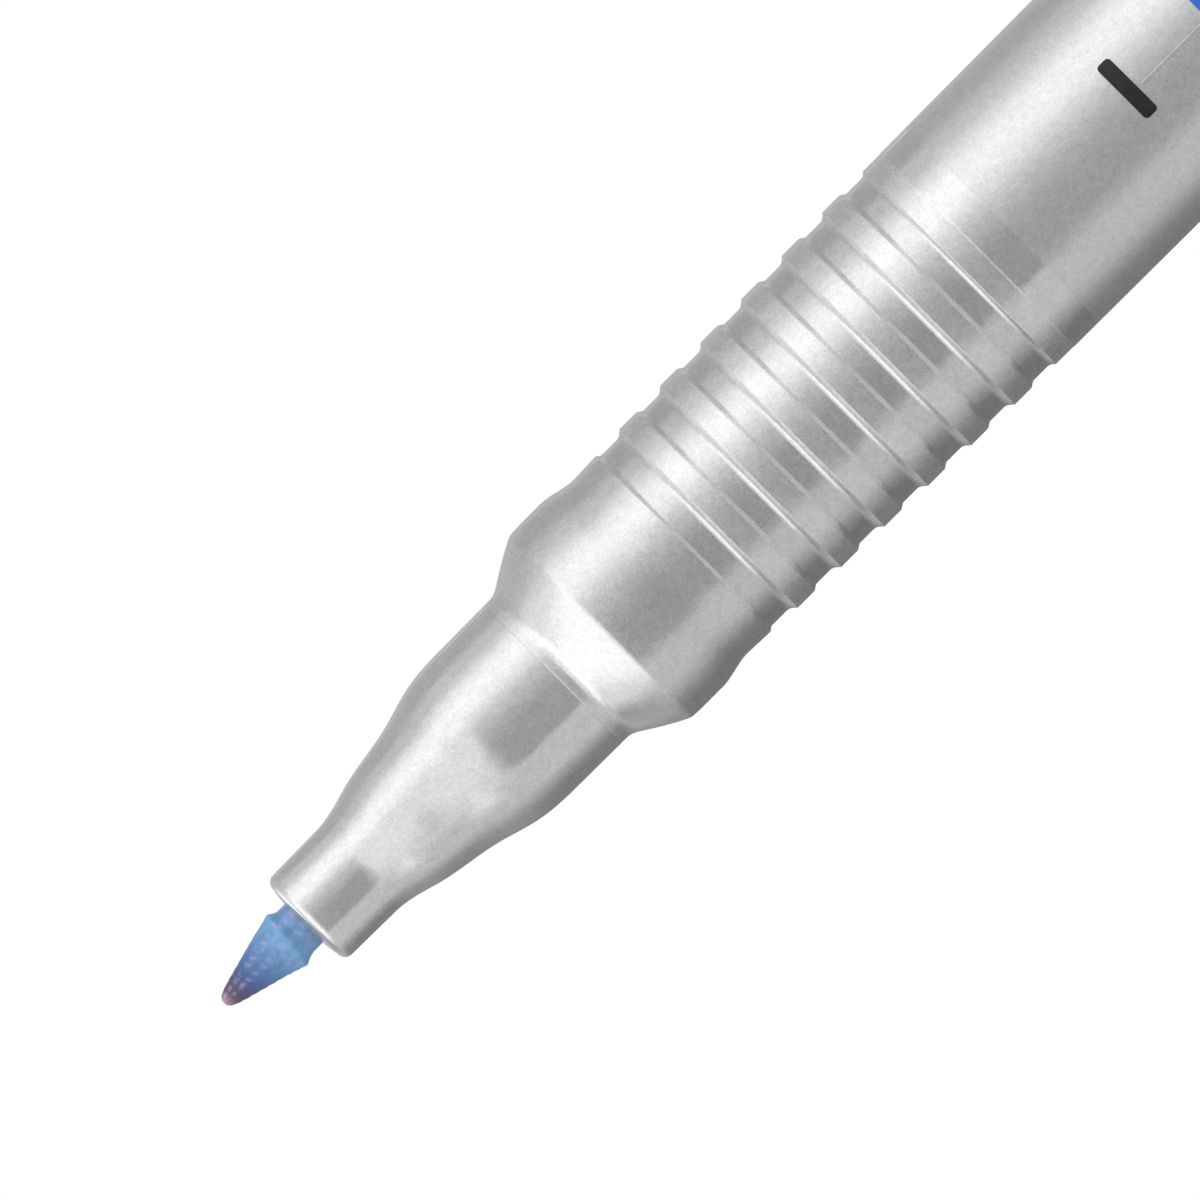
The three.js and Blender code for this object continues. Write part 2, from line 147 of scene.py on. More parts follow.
# Colours of the nib by distance behind the tip; the pale pink first stop is a painted highlight on the
# point
NIB_COLOUR_LENGTH = 5.0
NIB_COLOURS_AND_TIP_HIGHLIGHT = [
    # Painted pink highlight at the very point
    (0.0, (0.5, 0.3, 0.37)),
    (0.2, (0.29, 0.165, 0.22)),
    (0.4, (0.12, 0.067, 0.108)),
    (0.7, (0.072, 0.048, 0.112)),
    (1.1, (0.056, 0.067, 0.185)),
    (1.5, (0.047, 0.098, 0.27)),
    (2.2, (0.082, 0.182, 0.4)),
    (3.0, (0.142, 0.29, 0.53)),
    (3.4, (0.172, 0.34, 0.6)),
    (3.75, (0.165, 0.36, 0.62)),
    (4.1, (0.15, 0.34, 0.63)),
    (4.5, (0.19, 0.34, 0.58)),
    (5.0, (0.27, 0.4, 0.58)),
]
# Pale colour of the painted glints on the nib
NIB_GLINT_COLOUR = (0.56, 0.56, 0.82)
NIB_SOAKED_COLOUR = (0.035, 0.06, 0.2)
# Sides round the nib where the painted glints are stronger, and their turn
NIB_GLINT_SIDES = 3
NIB_GLINT_TURN = math.radians(25)

# Nose cone: its flares are (length, radius at the rear, slope there)
NOSE_FRONT_R = 2.33
NOSE_LAND_R = 2.36
NOSE_LAND_LENGTH = 2.83
NOSE_FRONT_FILLET = 0.4
NOSE_FACE_RISE = 0.16
NOSE_FRONT_FLARE = [(1.95, 2.73, 0.30), (2.35, 3.19, 0.17)]
NOSE_REAR_FLARE = [(1.5, 3.55, 0.31), (1.15, 3.86, 0.2), (1.0, 3.995, 0.07), (0.9, 4.03, 0)]
NOSE_SEAM_R = 4.05
NOSE_HOLLOW_R = 2.1
NIB_BORE_R = 1.185
BORE_CHAMFER = 0.16
NIB_GUIDE_LENGTH = 7.5
SHANK_R = 3.25
SHANK_CHAMFER = 0.4
SEAM_LIP = 0.014
SEAM_LIP_LENGTH = 0.14
SEAM_LIP_SLOPE = 0.25
SEAM_BEAD_LENGTH = 0.1

# Barrel
SEAM_COLLAR_LENGTH = 0.56
SHOULDER_FOOT_FILLET = 0.9
SHOULDER_LENGTH = 2.02
SHOULDER_R = 5.25
SHOULDER_FRONT_SLOPE = 0.65
SHOULDER_BACK_SLOPE = 0.5
BULGE_R = 5.385
BULGE_ROUNDING = 0.32
BULGE_ROUNDED_R = 5.362
BULGE_ROUNDED_SLOPE = 0.06
BULGE_CROWN_LENGTH = 0.6
BULGE_LENGTH = 1.7
WAIST_R = 5.115
WAIST_FLARE = 1.75
WAIST_LENGTH = 1.5
GRIP_START_R = 5.165
GRIP_STEP_LENGTH = 0.2
GROOVES = 7
FIRST_GROOVE_LENGTH = 1.045
GROOVE_LENGTH = 0.97
GROOVE_DEPTH = 0.24
RIB_LENGTH = 1.505
FIRST_RIB_R = 5.26
RIB_GROWTH = 0.0816
RIB_CHAMFER = 0.27
RIB_REAR_CHAMFER = 0.24
RIB_FOOT_FILLET = 0.4
RIB_FRONT_FILLET = 0.04
RIB_REAR_FILLET = 0.14
BODY_CHAMFER = 0.19
BODY_FRONT_R = 5.7
BODY_REAR_R = high("barrel", 0)
BODY_EDGE = 0.3
RING_BACK = 1.28
RING_LENGTH = 1.43
RING_RISE = 0.016
RING_RISE_LENGTH = 0.1
CHAMBER_R = 4.45
SHANK_CLEARANCE = 0.3
SHANK_BORE_R = 3.3
PLUG_BORE_R = 4.9
PLUG_LENGTH = 8.0

# Heights along the barrel
SHOULDER_FRONT_Z = SEAM_Z - SEAM_COLLAR_LENGTH
SHOULDER_BACK_Z = SHOULDER_FRONT_Z - SHOULDER_LENGTH
BULGE_FRONT_Z = SHOULDER_BACK_Z - BULGE_ROUNDING
BULGE_BACK_Z = BULGE_FRONT_Z - BULGE_LENGTH
WAIST_Z = BULGE_BACK_Z - WAIST_FLARE
GRIP_START_Z = WAIST_Z - WAIST_LENGTH
GRIP_END_Z = GRIP_START_Z - FIRST_GROOVE_LENGTH - (GROOVES - 1) * (GROOVE_LENGTH + RIB_LENGTH)
RING_TOP_Z = GRIP_END_Z - RING_BACK
RING_END_Z = RING_TOP_Z - RING_LENGTH

# Ribs: roughness added by wear, a painted-light tone that makes them lighter than the shaded grooves, and
# the part of a wave round each rib that gets both
RIB_WEAR = 0.07
RIB_PAINTED_LIGHT_TONE = 1.11
RIB_WEAR_AND_LIGHT_WAVE = (0.5, 0.62)
RIB_WEAR_AND_LIGHT_FADE = 0.05

# Printed places on the barrel
PRINT_LIFT = 0.012
PRINT_THICKNESS = 0.02
PRINT_GAP = 0.05
PATCH_CORNER_ROWS = 8
PATCH_ROW_SPACING = 1.0
PATCH_COLUMNS = 8
PATCH_COLUMN_SPACING = 0.15
MARK_BEHIND_TIP = 53.45
MARK_WIDTH = 0.7
MARK_LENGTH = 3.05
MARK_SIDE = 0.35
MARK_CORNER = 0.2
PANEL_BEHIND_TIP = 57.85
PANEL_LENGTH = 46.0
PANEL_WRAP = math.radians(150)
PANEL_TURN = math.radians(30)
PANEL_CORNER = 0.3
PARTING_LINE_TURN = math.radians(0.5)
PARTING_LINE_BEHIND_TIP = 54.0
PARTING_LINE_WIDTH = 0.12
PARTING_LINE_CROWN = 0.008
PARTING_LINE_END_GAP = 1.0

# Tail plug
TAIL_R = 5.4
TAIL_END_R = 4.5
TAIL_ROUNDING = 1.4
TAIL_STEP_FILLET = 0.15
PLUG_R = 4.85
PLUG_INNER_R = 3.65
TAIL_WALL = 1.2
POST_OUTER_R = 3.4
POST_INNER_R = 2.5

# Cap
CAP_MOUTH_R = 6.35
CAP_END_R = 5.6
CAP_END_ROUNDING = 0.8
CAP_END_WALL = 1.6
CAP_BORE_R = 5.5
CAP_BORE_DEPTH = 13.0
CAP_CORE_R = 4.6
CAP_BAND_LENGTH = 3.2
CAP_BAND_RISE = 0.12
MOUTH_ROUNDING = 0.25
CAP_ARC_STEPS = 10
CAP_RIBS = 4
CAP_RIB_WIDTH = 0.9
CAP_RIB_R = 3.5
CAP_RIB_OUTER_R = 5.1
VENT_WIDTH = 1.3
VENT_LENGTH = 3.4
VENT_OFFSET = 2.9
VENT_CUT_BELOW = 1.0
VENT_CUT_ABOVE = 0.5

# Inner cap
INNER_CAP_R = 3.4
FLANGE_R = 4.5
FLANGE_THICKNESS = 1.2
LEAD_IN_LENGTH = 3.0
LEAD_IN_R = 3.25
LEAD_IN_FILLET = 1.0
SEAL_R = 2.4
SEAL_LENGTH = 3.7
NIB_ROOM_R = 2.0
INNER_CAP_END_WALL = 1.0

# Clip
CLIP_INNER = 7.5375
CLIP_THICKNESS = 1.3
CLIP_WIDTH = high("clip", 0) * 2
CLIP_TAPER = 0.16
CLIP_FOOT_DEPTH = 0.9
CLIP_FOOT_HEIGHT = 1.3
CLIP_TIP_FLARE = 0.7
CLIP_TIP_LENGTH = 2.6
CLIP_BUMP_LENGTH = 4.4
CLIP_BUMP_RISE = 0.75
CLIP_ROOT_TOP_Z = 6.8
CLIP_ROOT_INNER = 5.3
CLIP_ROOT_ROUNDING = 0.8
CLIP_BEND_START_Z = CLIP_ROOT_TOP_Z + CLIP_ROOT_ROUNDING
CLIP_EDGE = 0.28
CLIP_EDGE_STEPS = 4
CLIP_EDGE_ANGLE = math.radians(50)
CLIP_CURVE_STEPS = 10
CLIP_ROOT_STEPS = 6
CLIP_OUTER_STEPS = 24
CLIP_INNER_STEPS = 16


def make_camera():
    """A long lens looking along +Y, rolled so that the nib points to the lower left."""
    data = bpy.data.cameras.new("camera")
    data.sensor_width = SENSOR
    data.lens = SENSOR * CAMERA_DISTANCE / (PHOTO_SPAN * MM)
    data.clip_end = 10 * CAMERA_DISTANCE
    camera = bpy.data.objects.new("camera", data)
    bpy.context.scene.collection.objects.link(camera)
    diagonal = math.sqrt(0.5)
    right = Vector((-diagonal, 0, -diagonal))
    up = Vector((diagonal, 0, -diagonal))
    back = Vector((0, -1, 0))
    centre = Vector((PHOTO_OFF_AXIS, 0, TIP_Z - PHOTO_CENTRE_BEHIND_TIP)) * MM
    turn = Matrix((right, up, back)).transposed().to_4x4()
    camera.matrix_world = Matrix.Translation(centre + back * CAMERA_DISTANCE) @ turn
    bpy.context.scene.camera = camera


# Mesh helpers


def new_object(name, mesh):
    piece = bpy.data.objects.new(name, mesh)
    bpy.context.scene.collection.objects.link(piece)
    return piece


def mark_sharp(mesh):
    """Smooth shading everywhere, with hard edges kept where faces meet at a large angle."""
    mesh.shade_smooth()
    mesh.set_sharp_from_angle(angle=SHARP_ANGLE)


def weight_normals(piece):
    modifier = piece.modifiers.new("weighted", "WEIGHTED_NORMAL")
    modifier.keep_sharp = True


def new_mesh(name, points, faces):
    """A mesh from points in millimetres."""
    mesh = bpy.data.meshes.new(name)
    mesh.from_pydata([Vector(p) * MM for p in points], [], faces)
    mesh.update()
    return mesh


def mesh_piece(name, points, faces):
    """A smooth piece from points in millimetres."""
    mesh = new_mesh(name, points, faces)
    mark_sharp(mesh)
    piece = new_object(name, mesh)
    weight_normals(piece)
    return piece


def arc(centre_r, centre_z, radius, start, end, steps):
    """Profile points of an arc, angles in degrees, 0 pointing outwards and 90 up."""
    angles = [math.radians(start + (end - start) * i / steps) for i in range(steps + 1)]
    return [(centre_r + radius * math.cos(a), centre_z + radius * math.sin(a)) for a in angles]


def flare(start, end, steps=FLARE_STEPS):
    """Points of a smooth curve between two (radius, height, slope).

    Slope is the loss of radius with height, and 0 where it isn't given.
    """
    start_r, start_z, start_slope = (*start, 0)[:3]
    end_r, end_z, end_slope = (*end, 0)[:3]
    rise = end_z - start_z
    points = []
    for i in range(steps + 1):
        t = i / steps
        step = (end_r - start_r) * t * t * (3 - 2 * t)
        lean = t * (1 - t) * rise * (t * end_slope - (1 - t) * start_slope)
        points.append((start_r + step + lean, start_z + rise * t))
    return points


def line_points(start, end, steps):
    """Points after the start of a straight stretch."""
    return [tuple(a + (b - a) * i / steps for a, b in zip(start, end)) for i in range(1, steps + 1)]


def subdivided(start, end, spacing):
    """Points after the start of a straight stretch, at most a spacing apart in height."""
    return line_points(start, end, max(1, math.ceil(abs(end[1] - start[1]) / spacing)))


def curve_points(start, control, end, steps):
    """Points after the start of a quadratic curve."""
    points = []
    for i in range(1, steps + 1):
        t = i / steps
        weights = ((1 - t) ** 2, 2 * t * (1 - t), t * t)
        points.append(tuple(sum(w * v for w, v in zip(weights, axis)) for axis in zip(start, control, end)))
    return points


def rounded(corners, steps=ARC_STEPS):
    """Profile points from corners (radius, height) or (radius, height, fillet), fillets drawn as arcs."""
    points = []
    for i, corner in enumerate(corners):
        here = Vector(corner[:2])
        fillet = corner[2] if len(corner) > 2 else 0
        if not fillet or i in (0, len(corners) - 1):
            points.append(tuple(here))
            continue
        before = Vector(corners[i - 1][:2]) - here
        after = Vector(corners[i + 1][:2]) - here
        half = before.angle(after) / 2
        room = []
        for side, k in ((before, i - 1), (after, i + 1)):
            share = FILLET_ROOM / 2 if len(corners[k]) > 2 else FILLET_ROOM
            room.append(side.length * share)
        reach = min(fillet / math.tan(half), *room)
        radius = reach * math.tan(half)
        before.normalize()
        after.normalize()
        centre = here + (before + after).normalized() * radius / math.sin(half)
        first = (here + before * reach - centre).normalized()
        last = (here + after * reach - centre).normalized()
        for step in range(steps + 1):
            points.append(tuple(centre + first.slerp(last, step / steps) * radius))
    return points


def turned(name, outline, reshape=None):
    """A closed turned piece.

    The outline goes round the section, and starts and ends on the axis or joins itself. Reshape, if given,
    moves each point from its radius, height and angle to a new radius and height.
    """
    on_axis = outline[0][0] == 0
    area = sum(a[0] * b[1] - b[0] * a[1] for a, b in zip(outline, outline[1:] + outline[:1]))
    if area < 0:
        outline = outline[::-1]
    points = []
    rings = []
    for radius, height in outline:
        if radius == 0:
            rings.append([len(points)] * SEGMENTS)
            points.append((0, 0, height))
            continue
        rings.append(list(range(len(points), len(points) + SEGMENTS)))
        for k in range(SEGMENTS):
            angle = 2 * math.pi * k / SEGMENTS
            r, z = reshape(radius, height, angle) if reshape else (radius, height)
            points.append((r * math.cos(angle), r * math.sin(angle), z))
    faces = []
    pairs = list(zip(rings, rings[1:]))
    if not on_axis:
        pairs.append((rings[-1], rings[0]))
    for lower, upper in pairs:
        for k in range(SEGMENTS):
            n = (k + 1) % SEGMENTS
            corners = [lower[k], lower[n], upper[n], upper[k]]
            faces.append(list(dict.fromkeys(corners)))
    return mesh_piece(name, points, faces)


def boxed(name, corner_low, corner_high):
    """A box between two corners, for joining to a piece or cutting from it."""
    spans = list(zip(corner_low, corner_high))
    points = [(x, y, z) for x in spans[0] for y in spans[1] for z in spans[2]]
    faces = [(0, 1, 3, 2), (4, 6, 7, 5), (0, 4, 5, 1), (2, 3, 7, 6), (0, 2, 6, 4), (1, 5, 7, 3)]
    return new_object(name, new_mesh(name, points, faces))


def combine(piece, tools, operation):
    """Joins tools to a piece or cuts them from it, and removes them."""
    for tool in tools:
        modifier = piece.modifiers.new("combine", "BOOLEAN")
        modifier.operation = operation
        modifier.solver = "EXACT"
        modifier.object = tool
        piece.modifiers.move(len(piece.modifiers) - 1, 0)
        evaluated = piece.evaluated_get(bpy.context.evaluated_depsgraph_get())
        mesh = bpy.data.meshes.new_from_object(evaluated)
        piece.modifiers.remove(piece.modifiers[0])
        old = piece.data
        piece.data = mesh
        bpy.data.meshes.remove(old)
        bpy.data.objects.remove(tool)
    mark_sharp(piece.data)


def wrapped_patch(name, radius_at, start_z, end_z, turn, width, corner, crown=0.0):
    """A thin closed patch on a round surface, with rounded corners.

    Turn is the angle of its middle from -Y towards +X, and crown raises its middle line.
    """
    rows = [start_z]
    for i in range(1, PATCH_CORNER_ROWS + 1):
        rows.append(start_z + corner * (1 - math.cos(math.pi / 2 * i / PATCH_CORNER_ROWS)))
    middle_rows = max(2, int((end_z - start_z - 2 * corner) / PATCH_ROW_SPACING))
    for i in range(1, middle_rows):
        rows.append(start_z + corner + (end_z - start_z - 2 * corner) * i / middle_rows)
    for i in range(PATCH_CORNER_ROWS, -1, -1):
        rows.append(end_z - corner * (1 - math.cos(math.pi / 2 * i / PATCH_CORNER_ROWS)))
    columns = max(PATCH_COLUMNS, int(width / PATCH_COLUMN_SPACING))
    layers = []
    points = []
    for lift, ridge in ((PRINT_LIFT, 0.0), (PRINT_LIFT + PRINT_THICKNESS, crown)):
        layer = []
        for z in rows:
            inset = max(0.0, corner - min(z - start_z, end_z - z))
            half = width / 2 - corner + math.sqrt(max(0.0, corner**2 - inset**2))
            radius = radius_at(z) + lift
            row = []
            for c in range(columns + 1):
                across = 2 * c / columns - 1
                angle = turn + across * half / radius
                r = radius + ridge * (1 - abs(across))
                row.append(len(points))
                points.append((r * math.sin(angle), -r * math.cos(angle), z))
            layer.append(row)
        layers.append(layer)
    faces = []
    under, over = layers
    for r in range(len(rows) - 1):
        for c in range(columns):
            faces.append((over[r][c], over[r][c + 1], over[r + 1][c + 1], over[r + 1][c]))
            faces.append((under[r][c], under[r + 1][c], under[r + 1][c + 1], under[r][c + 1]))
        faces.append((under[r][0], over[r][0], over[r + 1][0], under[r + 1][0]))
        faces.append((under[r][-1], under[r + 1][-1], over[r + 1][-1], over[r][-1]))
    for c in range(columns):
        faces.append((under[0][c], under[0][c + 1], over[0][c + 1], over[0][c]))
        faces.append((under[-1][c], over[-1][c], over[-1][c + 1], under[-1][c + 1]))
    return mesh_piece(name, points, faces)


# Material helpers


def new_material(name):
    material = bpy.data.materials.new(name)
    material.use_nodes = True
    tree = material.node_tree
    return material, tree, tree.nodes["Principled BSDF"]


def set_values(node, values):
    for socket, value in values.items():
        node.inputs[socket].default_value = value


def object_point(tree, scale=(1, 1, 1)):
    """Object coordinates, stretched by a scale along each axis."""
    coordinates = tree.nodes.new("ShaderNodeTexCoord")
    mapping = tree.nodes.new("ShaderNodeMapping")
    mapping.inputs["Scale"].default_value = scale
    tree.links.new(coordinates.outputs["Object"], mapping.inputs["Vector"])
    return mapping.outputs["Vector"]


def object_axes(tree):
    """The X, Y and Z of the object coordinates."""
    separate = tree.nodes.new("ShaderNodeSeparateXYZ")
    tree.links.new(object_point(tree), separate.inputs["Vector"])
    return separate.outputs


def noise(tree, size, detail=2.0, roughness=0.5, stretch=(1, 1, 1)):
    """Noise from 0 to 1 with features of a size in millimetres."""
    node = tree.nodes.new("ShaderNodeTexNoise")
    set_values(node, {"Scale": 1 / (size * MM), "Detail": detail, "Roughness": roughness})
    tree.links.new(object_point(tree, stretch), node.inputs["Vector"])
    return node.outputs["Fac"]


def height_position(tree, start_z, end_z):
    """0 at one height and 1 at another, even in between and clamped beyond them."""
    return remap(tree, object_axes(tree)["Z"], 0, 1, start_z * MM, end_z * MM)


def cylinder_position(tree):
    """The angle round the axis, from -Y towards +X, and the height in metres."""
    axes = object_axes(tree)
    return math_node(tree, "ARCTAN2", axes["X"], times(tree, axes["Y"], -1)), axes["Z"]


def wave(tree, value, count, phase):
    """A cosine between 0 and 1 of a value times a count plus a phase."""
    turn = plus(tree, times(tree, value, count), phase)
    cosine = math_node(tree, "COSINE", turn, 0)
    return plus(tree, times(tree, cosine, 0.5), 0.5)


def remap(tree, value, low_value, high_value, from_low=0.0, from_high=1.0):
    """A value taken from one range to another, and clamped to it."""
    node = tree.nodes.new("ShaderNodeMapRange")
    set_values(node, {"From Min": from_low, "From Max": from_high})
    set_values(node, {"To Min": low_value, "To Max": high_value})
    tree.links.new(value, node.inputs["Value"])
    return node.outputs["Result"]


def ramp(tree, value, stops):
    """A colour ramp from (position, colour) stops."""
    node = tree.nodes.new("ShaderNodeValToRGB")
    elements = node.color_ramp.elements
    while len(elements) > len(stops):
        elements.remove(elements[-1])
    while len(elements) < len(stops):
        elements.new(0.5)
    for element, (position, colour) in zip(elements, stops):
        element.position = position
        element.color = (*colour, 1)
    tree.links.new(value, node.inputs["Fac"])
    return node.outputs["Color"]


def math_node(tree, operation, first, second):
    node = tree.nodes.new("ShaderNodeMath")
    node.operation = operation
    for socket, value in zip(node.inputs, (first, second)):
        if isinstance(value, (int, float)):
            socket.default_value = value
        else:
            tree.links.new(value, socket)
    return node.outputs["Value"]


def plus(tree, first, second):
    return math_node(tree, "ADD", first, second)


def times(tree, first, second):
    return math_node(tree, "MULTIPLY", first, second)


def mix_colour(tree, factor, first, second):
    node = tree.nodes.new("ShaderNodeMix")
    node.data_type = "RGBA"
    for name, value in (("Factor", factor), ("A", first), ("B", second)):
        socket = node.inputs[name]
        if isinstance(value, (int, float)):
            socket.default_value = value
        elif isinstance(value, tuple):
            socket.default_value = (*value, 1)
        else:
            tree.links.new(value, socket)
    return node.outputs["Result"]


def colour_from(tree, shader, value, stops):
    """Base colour from a value through a colour ramp."""
    tree.links.new(ramp(tree, value, stops), shader.inputs["Base Color"])


def roughness_from(tree, shader, value, low_value, high_value):
    tree.links.new(remap(tree, value, low_value, high_value), shader.inputs["Roughness"])


def mix_shaders(tree, share, first, second):
    """The first shader node where a share is 0, and the second where it is 1."""
    mix = tree.nodes.new("ShaderNodeMixShader")
    tree.links.new(share, mix.inputs["Fac"])
    tree.links.new(first.outputs[0], mix.inputs[1])
    tree.links.new(second.outputs[0], mix.inputs[2])
    return mix.outputs["Shader"]


def bump(tree, shader, height, distance):
    """Fine relief of a height in millimetres."""
    node = tree.nodes.new("ShaderNodeBump")
    node.inputs["Distance"].default_value = distance * MM
    tree.links.new(height, node.inputs["Height"])
    tree.links.new(node.outputs["Normal"], shader.inputs["Normal"])


# Materials


def rib_share(tree):
    """1 on the ribs and the start of the body, which get wear roughness and a painted-light tone lighter
    than the shaded grooves, 0 in the grooves and elsewhere.
    """
    period = GROOVE_LENGTH + RIB_LENGTH
    middle = GRIP_START_Z - FIRST_GROOVE_LENGTH - RIB_LENGTH / 2
    height = cylinder_position(tree)[1]
    turns = 2 * math.pi / period
    near = remap(tree, wave(tree, height, turns / MM, -turns * middle), 0, 1, *RIB_WEAR_AND_LIGHT_WAVE)
    grip = height_position(tree, RING_TOP_Z, RING_TOP_Z + RIB_WEAR_AND_LIGHT_FADE)
    first_rib_z = GRIP_START_Z - FIRST_GROOVE_LENGTH
    front = height_position(tree, GRIP_START_Z - FIRST_GROOVE_LENGTH / 2, first_rib_z)
    return times(tree, near, times(tree, grip, front))


def silver_plastic(name, metallic, finish_and_painted_tone, ribbed=False):
    """Plastic filled with fine aluminium flake. Finish stops go upwards, as (height, roughness, tone); the
    tone is painted light and shade that lightens or darkens bands of the one plastic.
    """
    material, tree, shader = new_material(name)
    set_values(shader, {"Metallic": metallic, "Coat Weight": 0.12, "Coat Roughness": 0.08})
    flake = noise(tree, 0.11, detail=3.0, roughness=0.8)
    cloud = noise(tree, 0.35, detail=2.0, roughness=0.6)
    tint = plus(tree, times(tree, flake, 0.7), times(tree, cloud, 0.3))
    colour = ramp(tree, tint, [(0.32, (0.399, 0.398, 0.409)), (0.68, (0.56, 0.558, 0.573))])
    low_z, high_z = finish_and_painted_tone[0][0], finish_and_painted_tone[-1][0]
    length = high_z - low_z
    place = height_position(tree, low_z, high_z)
    stops = [((z - low_z) / length, (roughness, painted_tone / 2, 0)) for z, roughness, painted_tone in finish_and_painted_tone]
    separate = tree.nodes.new("ShaderNodeSeparateColor")
    tree.links.new(ramp(tree, place, stops), separate.inputs["Color"])
    finish_value = separate.outputs["Red"]
    painted_tone = times(tree, separate.outputs["Green"], 2)
    if ribbed:
        ribs = rib_share(tree)
        finish_value = plus(tree, finish_value, times(tree, ribs, RIB_WEAR))
        # Painted light: the ribs are made lighter to stand in for the shade that falls in the grooves
        # between them.
        painted_tone = times(tree, painted_tone, remap(tree, ribs, 1.0, RIB_PAINTED_LIGHT_TONE))
    scaled = tree.nodes.new("ShaderNodeVectorMath")
    scaled.operation = "SCALE"
    tree.links.new(colour, scaled.inputs["Vector"])
    tree.links.new(painted_tone, scaled.inputs["Scale"])
    tree.links.new(scaled.outputs["Vector"], shader.inputs["Base Color"])
    roughness = plus(tree, finish_value, remap(tree, tint, -0.05, 0.05, 0.25, 0.75))
    tree.links.new(roughness, shader.inputs["Roughness"])
    bump(tree, shader, plus(tree, flake, cloud), 0.003)
    return material


def blue_plastic():
    """Glossy coloured plastic with a faint orange-peel skin."""
    material, tree, shader = new_material("blue_plastic")
    set_values(shader, {"Coat Weight": 0.5, "Coat Roughness": 0.05})
    cloud = noise(tree, 2.5, detail=1.5)
    colour_from(tree, shader, cloud, [(0.3, (0.012, 0.078, 0.4)), (0.7, (0.015, 0.09, 0.44))])
    roughness_from(tree, shader, cloud, 0.16, 0.24)
    bump(tree, shader, cloud, 0.002)
    return material


def nib_fibre():
    """Ink-soaked bonded fibre, violet and dark towards the point and blue behind, with a painted pink
    highlight at the tip and pale dashes that are painted glints.
    """
    material, tree, shader = new_material("nib_fibre")
    set_values(shader, {"Specular IOR Level": 0.3, "Coat Weight": 0.2, "Coat Roughness": 0.15})
    set_values(shader, {"Subsurface Weight": 0.15, "Subsurface Scale": 0.0002})
    along = height_position(tree, TIP_Z, TIP_Z - NIB_COLOUR_LENGTH)
    wander = noise(tree, 0.4, detail=2.0)
    place = plus(tree, along, remap(tree, wander, -0.015, 0.015))
    stops = [(distance / NIB_COLOUR_LENGTH, colour) for distance, colour in NIB_COLOURS_AND_TIP_HIGHLIGHT]
    body = ramp(tree, place, stops)
    around, height = cylinder_position(tree)
    # From here the pale dashes are painted glints: rows of light set on the rings where the lamps glint,
    # stronger on the lit side.
    lobe = wave(tree, around, NIB_LOBES, -NIB_LOBES * NIB_LOBE_TURN)
    drift = remap(tree, noise(tree, 0.5, detail=1.0), -5, 5)
    turn = plus(tree, times(tree, height, 2 * math.pi / (NIB_RING_SPACING * MM)), drift)
    ring = wave(tree, turn, 1, 0)
    lobe_mark = remap(tree, lobe, 0, 1, 0.0, 0.85)
    mark = times(tree, lobe_mark, remap(tree, ring, 0.1, 0.85, 0.1, 0.95))
    glint_wave = wave(tree, around, NIB_GLINT_SIDES, -NIB_GLINT_SIDES * NIB_GLINT_TURN)
    side = remap(tree, glint_wave, 0.15, 1, 0.2, 0.7)
    streak = noise(tree, 0.2, detail=2.0, roughness=0.6, stretch=(1, 1, 1.7))
    patch = noise(tree, 0.5, detail=1.0)
    kept = times(tree, mark, remap(tree, patch, 0.15, 1, 0.38, 0.62))
    wear_and_glint = times(tree, times(tree, kept, side), remap(tree, streak, 0.2, 0.8, 0.3, 0.7))
    shade = noise(tree, 0.3, detail=2.0, stretch=(1, 1, 0.6))
    body = mix_colour(tree, remap(tree, shade, 0, 0.35, 0.4, 0.8), body, NIB_SOAKED_COLOUR)
    # Painted glints mixed into the nib's colour
    colour = mix_colour(tree, wear_and_glint, body, NIB_GLINT_COLOUR)
    tree.links.new(colour, shader.inputs["Base Color"])
    roughness_from(tree, shader, streak, 0.35, 0.5)
    bump(tree, shader, streak, 0.012)
    return material


def seal_plastic():
    """Pale soft plastic of the inner cap."""
    material, tree, shader = new_material("seal_plastic")
    set_values(shader, {"Subsurface Weight": 0.2, "Subsurface Scale": 0.001})
    cloud = noise(tree, 1.2, detail=2.0)
    colour_from(tree, shader, cloud, [(0, (0.74, 0.76, 0.78)), (1, (0.82, 0.84, 0.85))])
    roughness_from(tree, shader, cloud, 0.4, 0.52)
    bump(tree, shader, cloud, 0.004)
    return material


def core_fibre():
    """Bundled fibre running along the core, dark with ink."""
    material, tree, shader = new_material("core_fibre")
    strands = noise(tree, 0.12, detail=3.0, stretch=(1, 1, 0.04))
    colour_from(tree, shader, strands, [(0.3, (0.008, 0.02, 0.12)), (0.7, (0.03, 0.07, 0.28))])
    roughness_from(tree, shader, strands, 0.7, 0.95)
    bump(tree, shader, strands, 0.03)
    return material


def clear_film():
    """Thin wrapping film, slightly crinkled."""
    material, tree, shader = new_material("film")
    set_values(shader, {"Alpha": 0.35})
    crinkle = noise(tree, 1.5, detail=3.0, stretch=(1, 1, 0.2))
    colour_from(tree, shader, crinkle, [(0, (0.7, 0.74, 0.78)), (1, (0.8, 0.84, 0.88))])
    roughness_from(tree, shader, crinkle, 0.1, 0.25)
    bump(tree, shader, crinkle, 0.02)
    return material


def printed_ink(name, dark, light, roughness):
    """Pad-printed ink with small density changes."""
    material, tree, shader = new_material(name)
    set_values(shader, {"Specular IOR Level": 0.3})
    cloud = noise(tree, 0.4, detail=3.0)
    colour_from(tree, shader, cloud, [(0.3, dark), (0.7, light)])
    roughness_from(tree, shader, cloud, roughness - 0.06, roughness + 0.06)
    bump(tree, shader, cloud, 0.004)
    return material


# Pieces


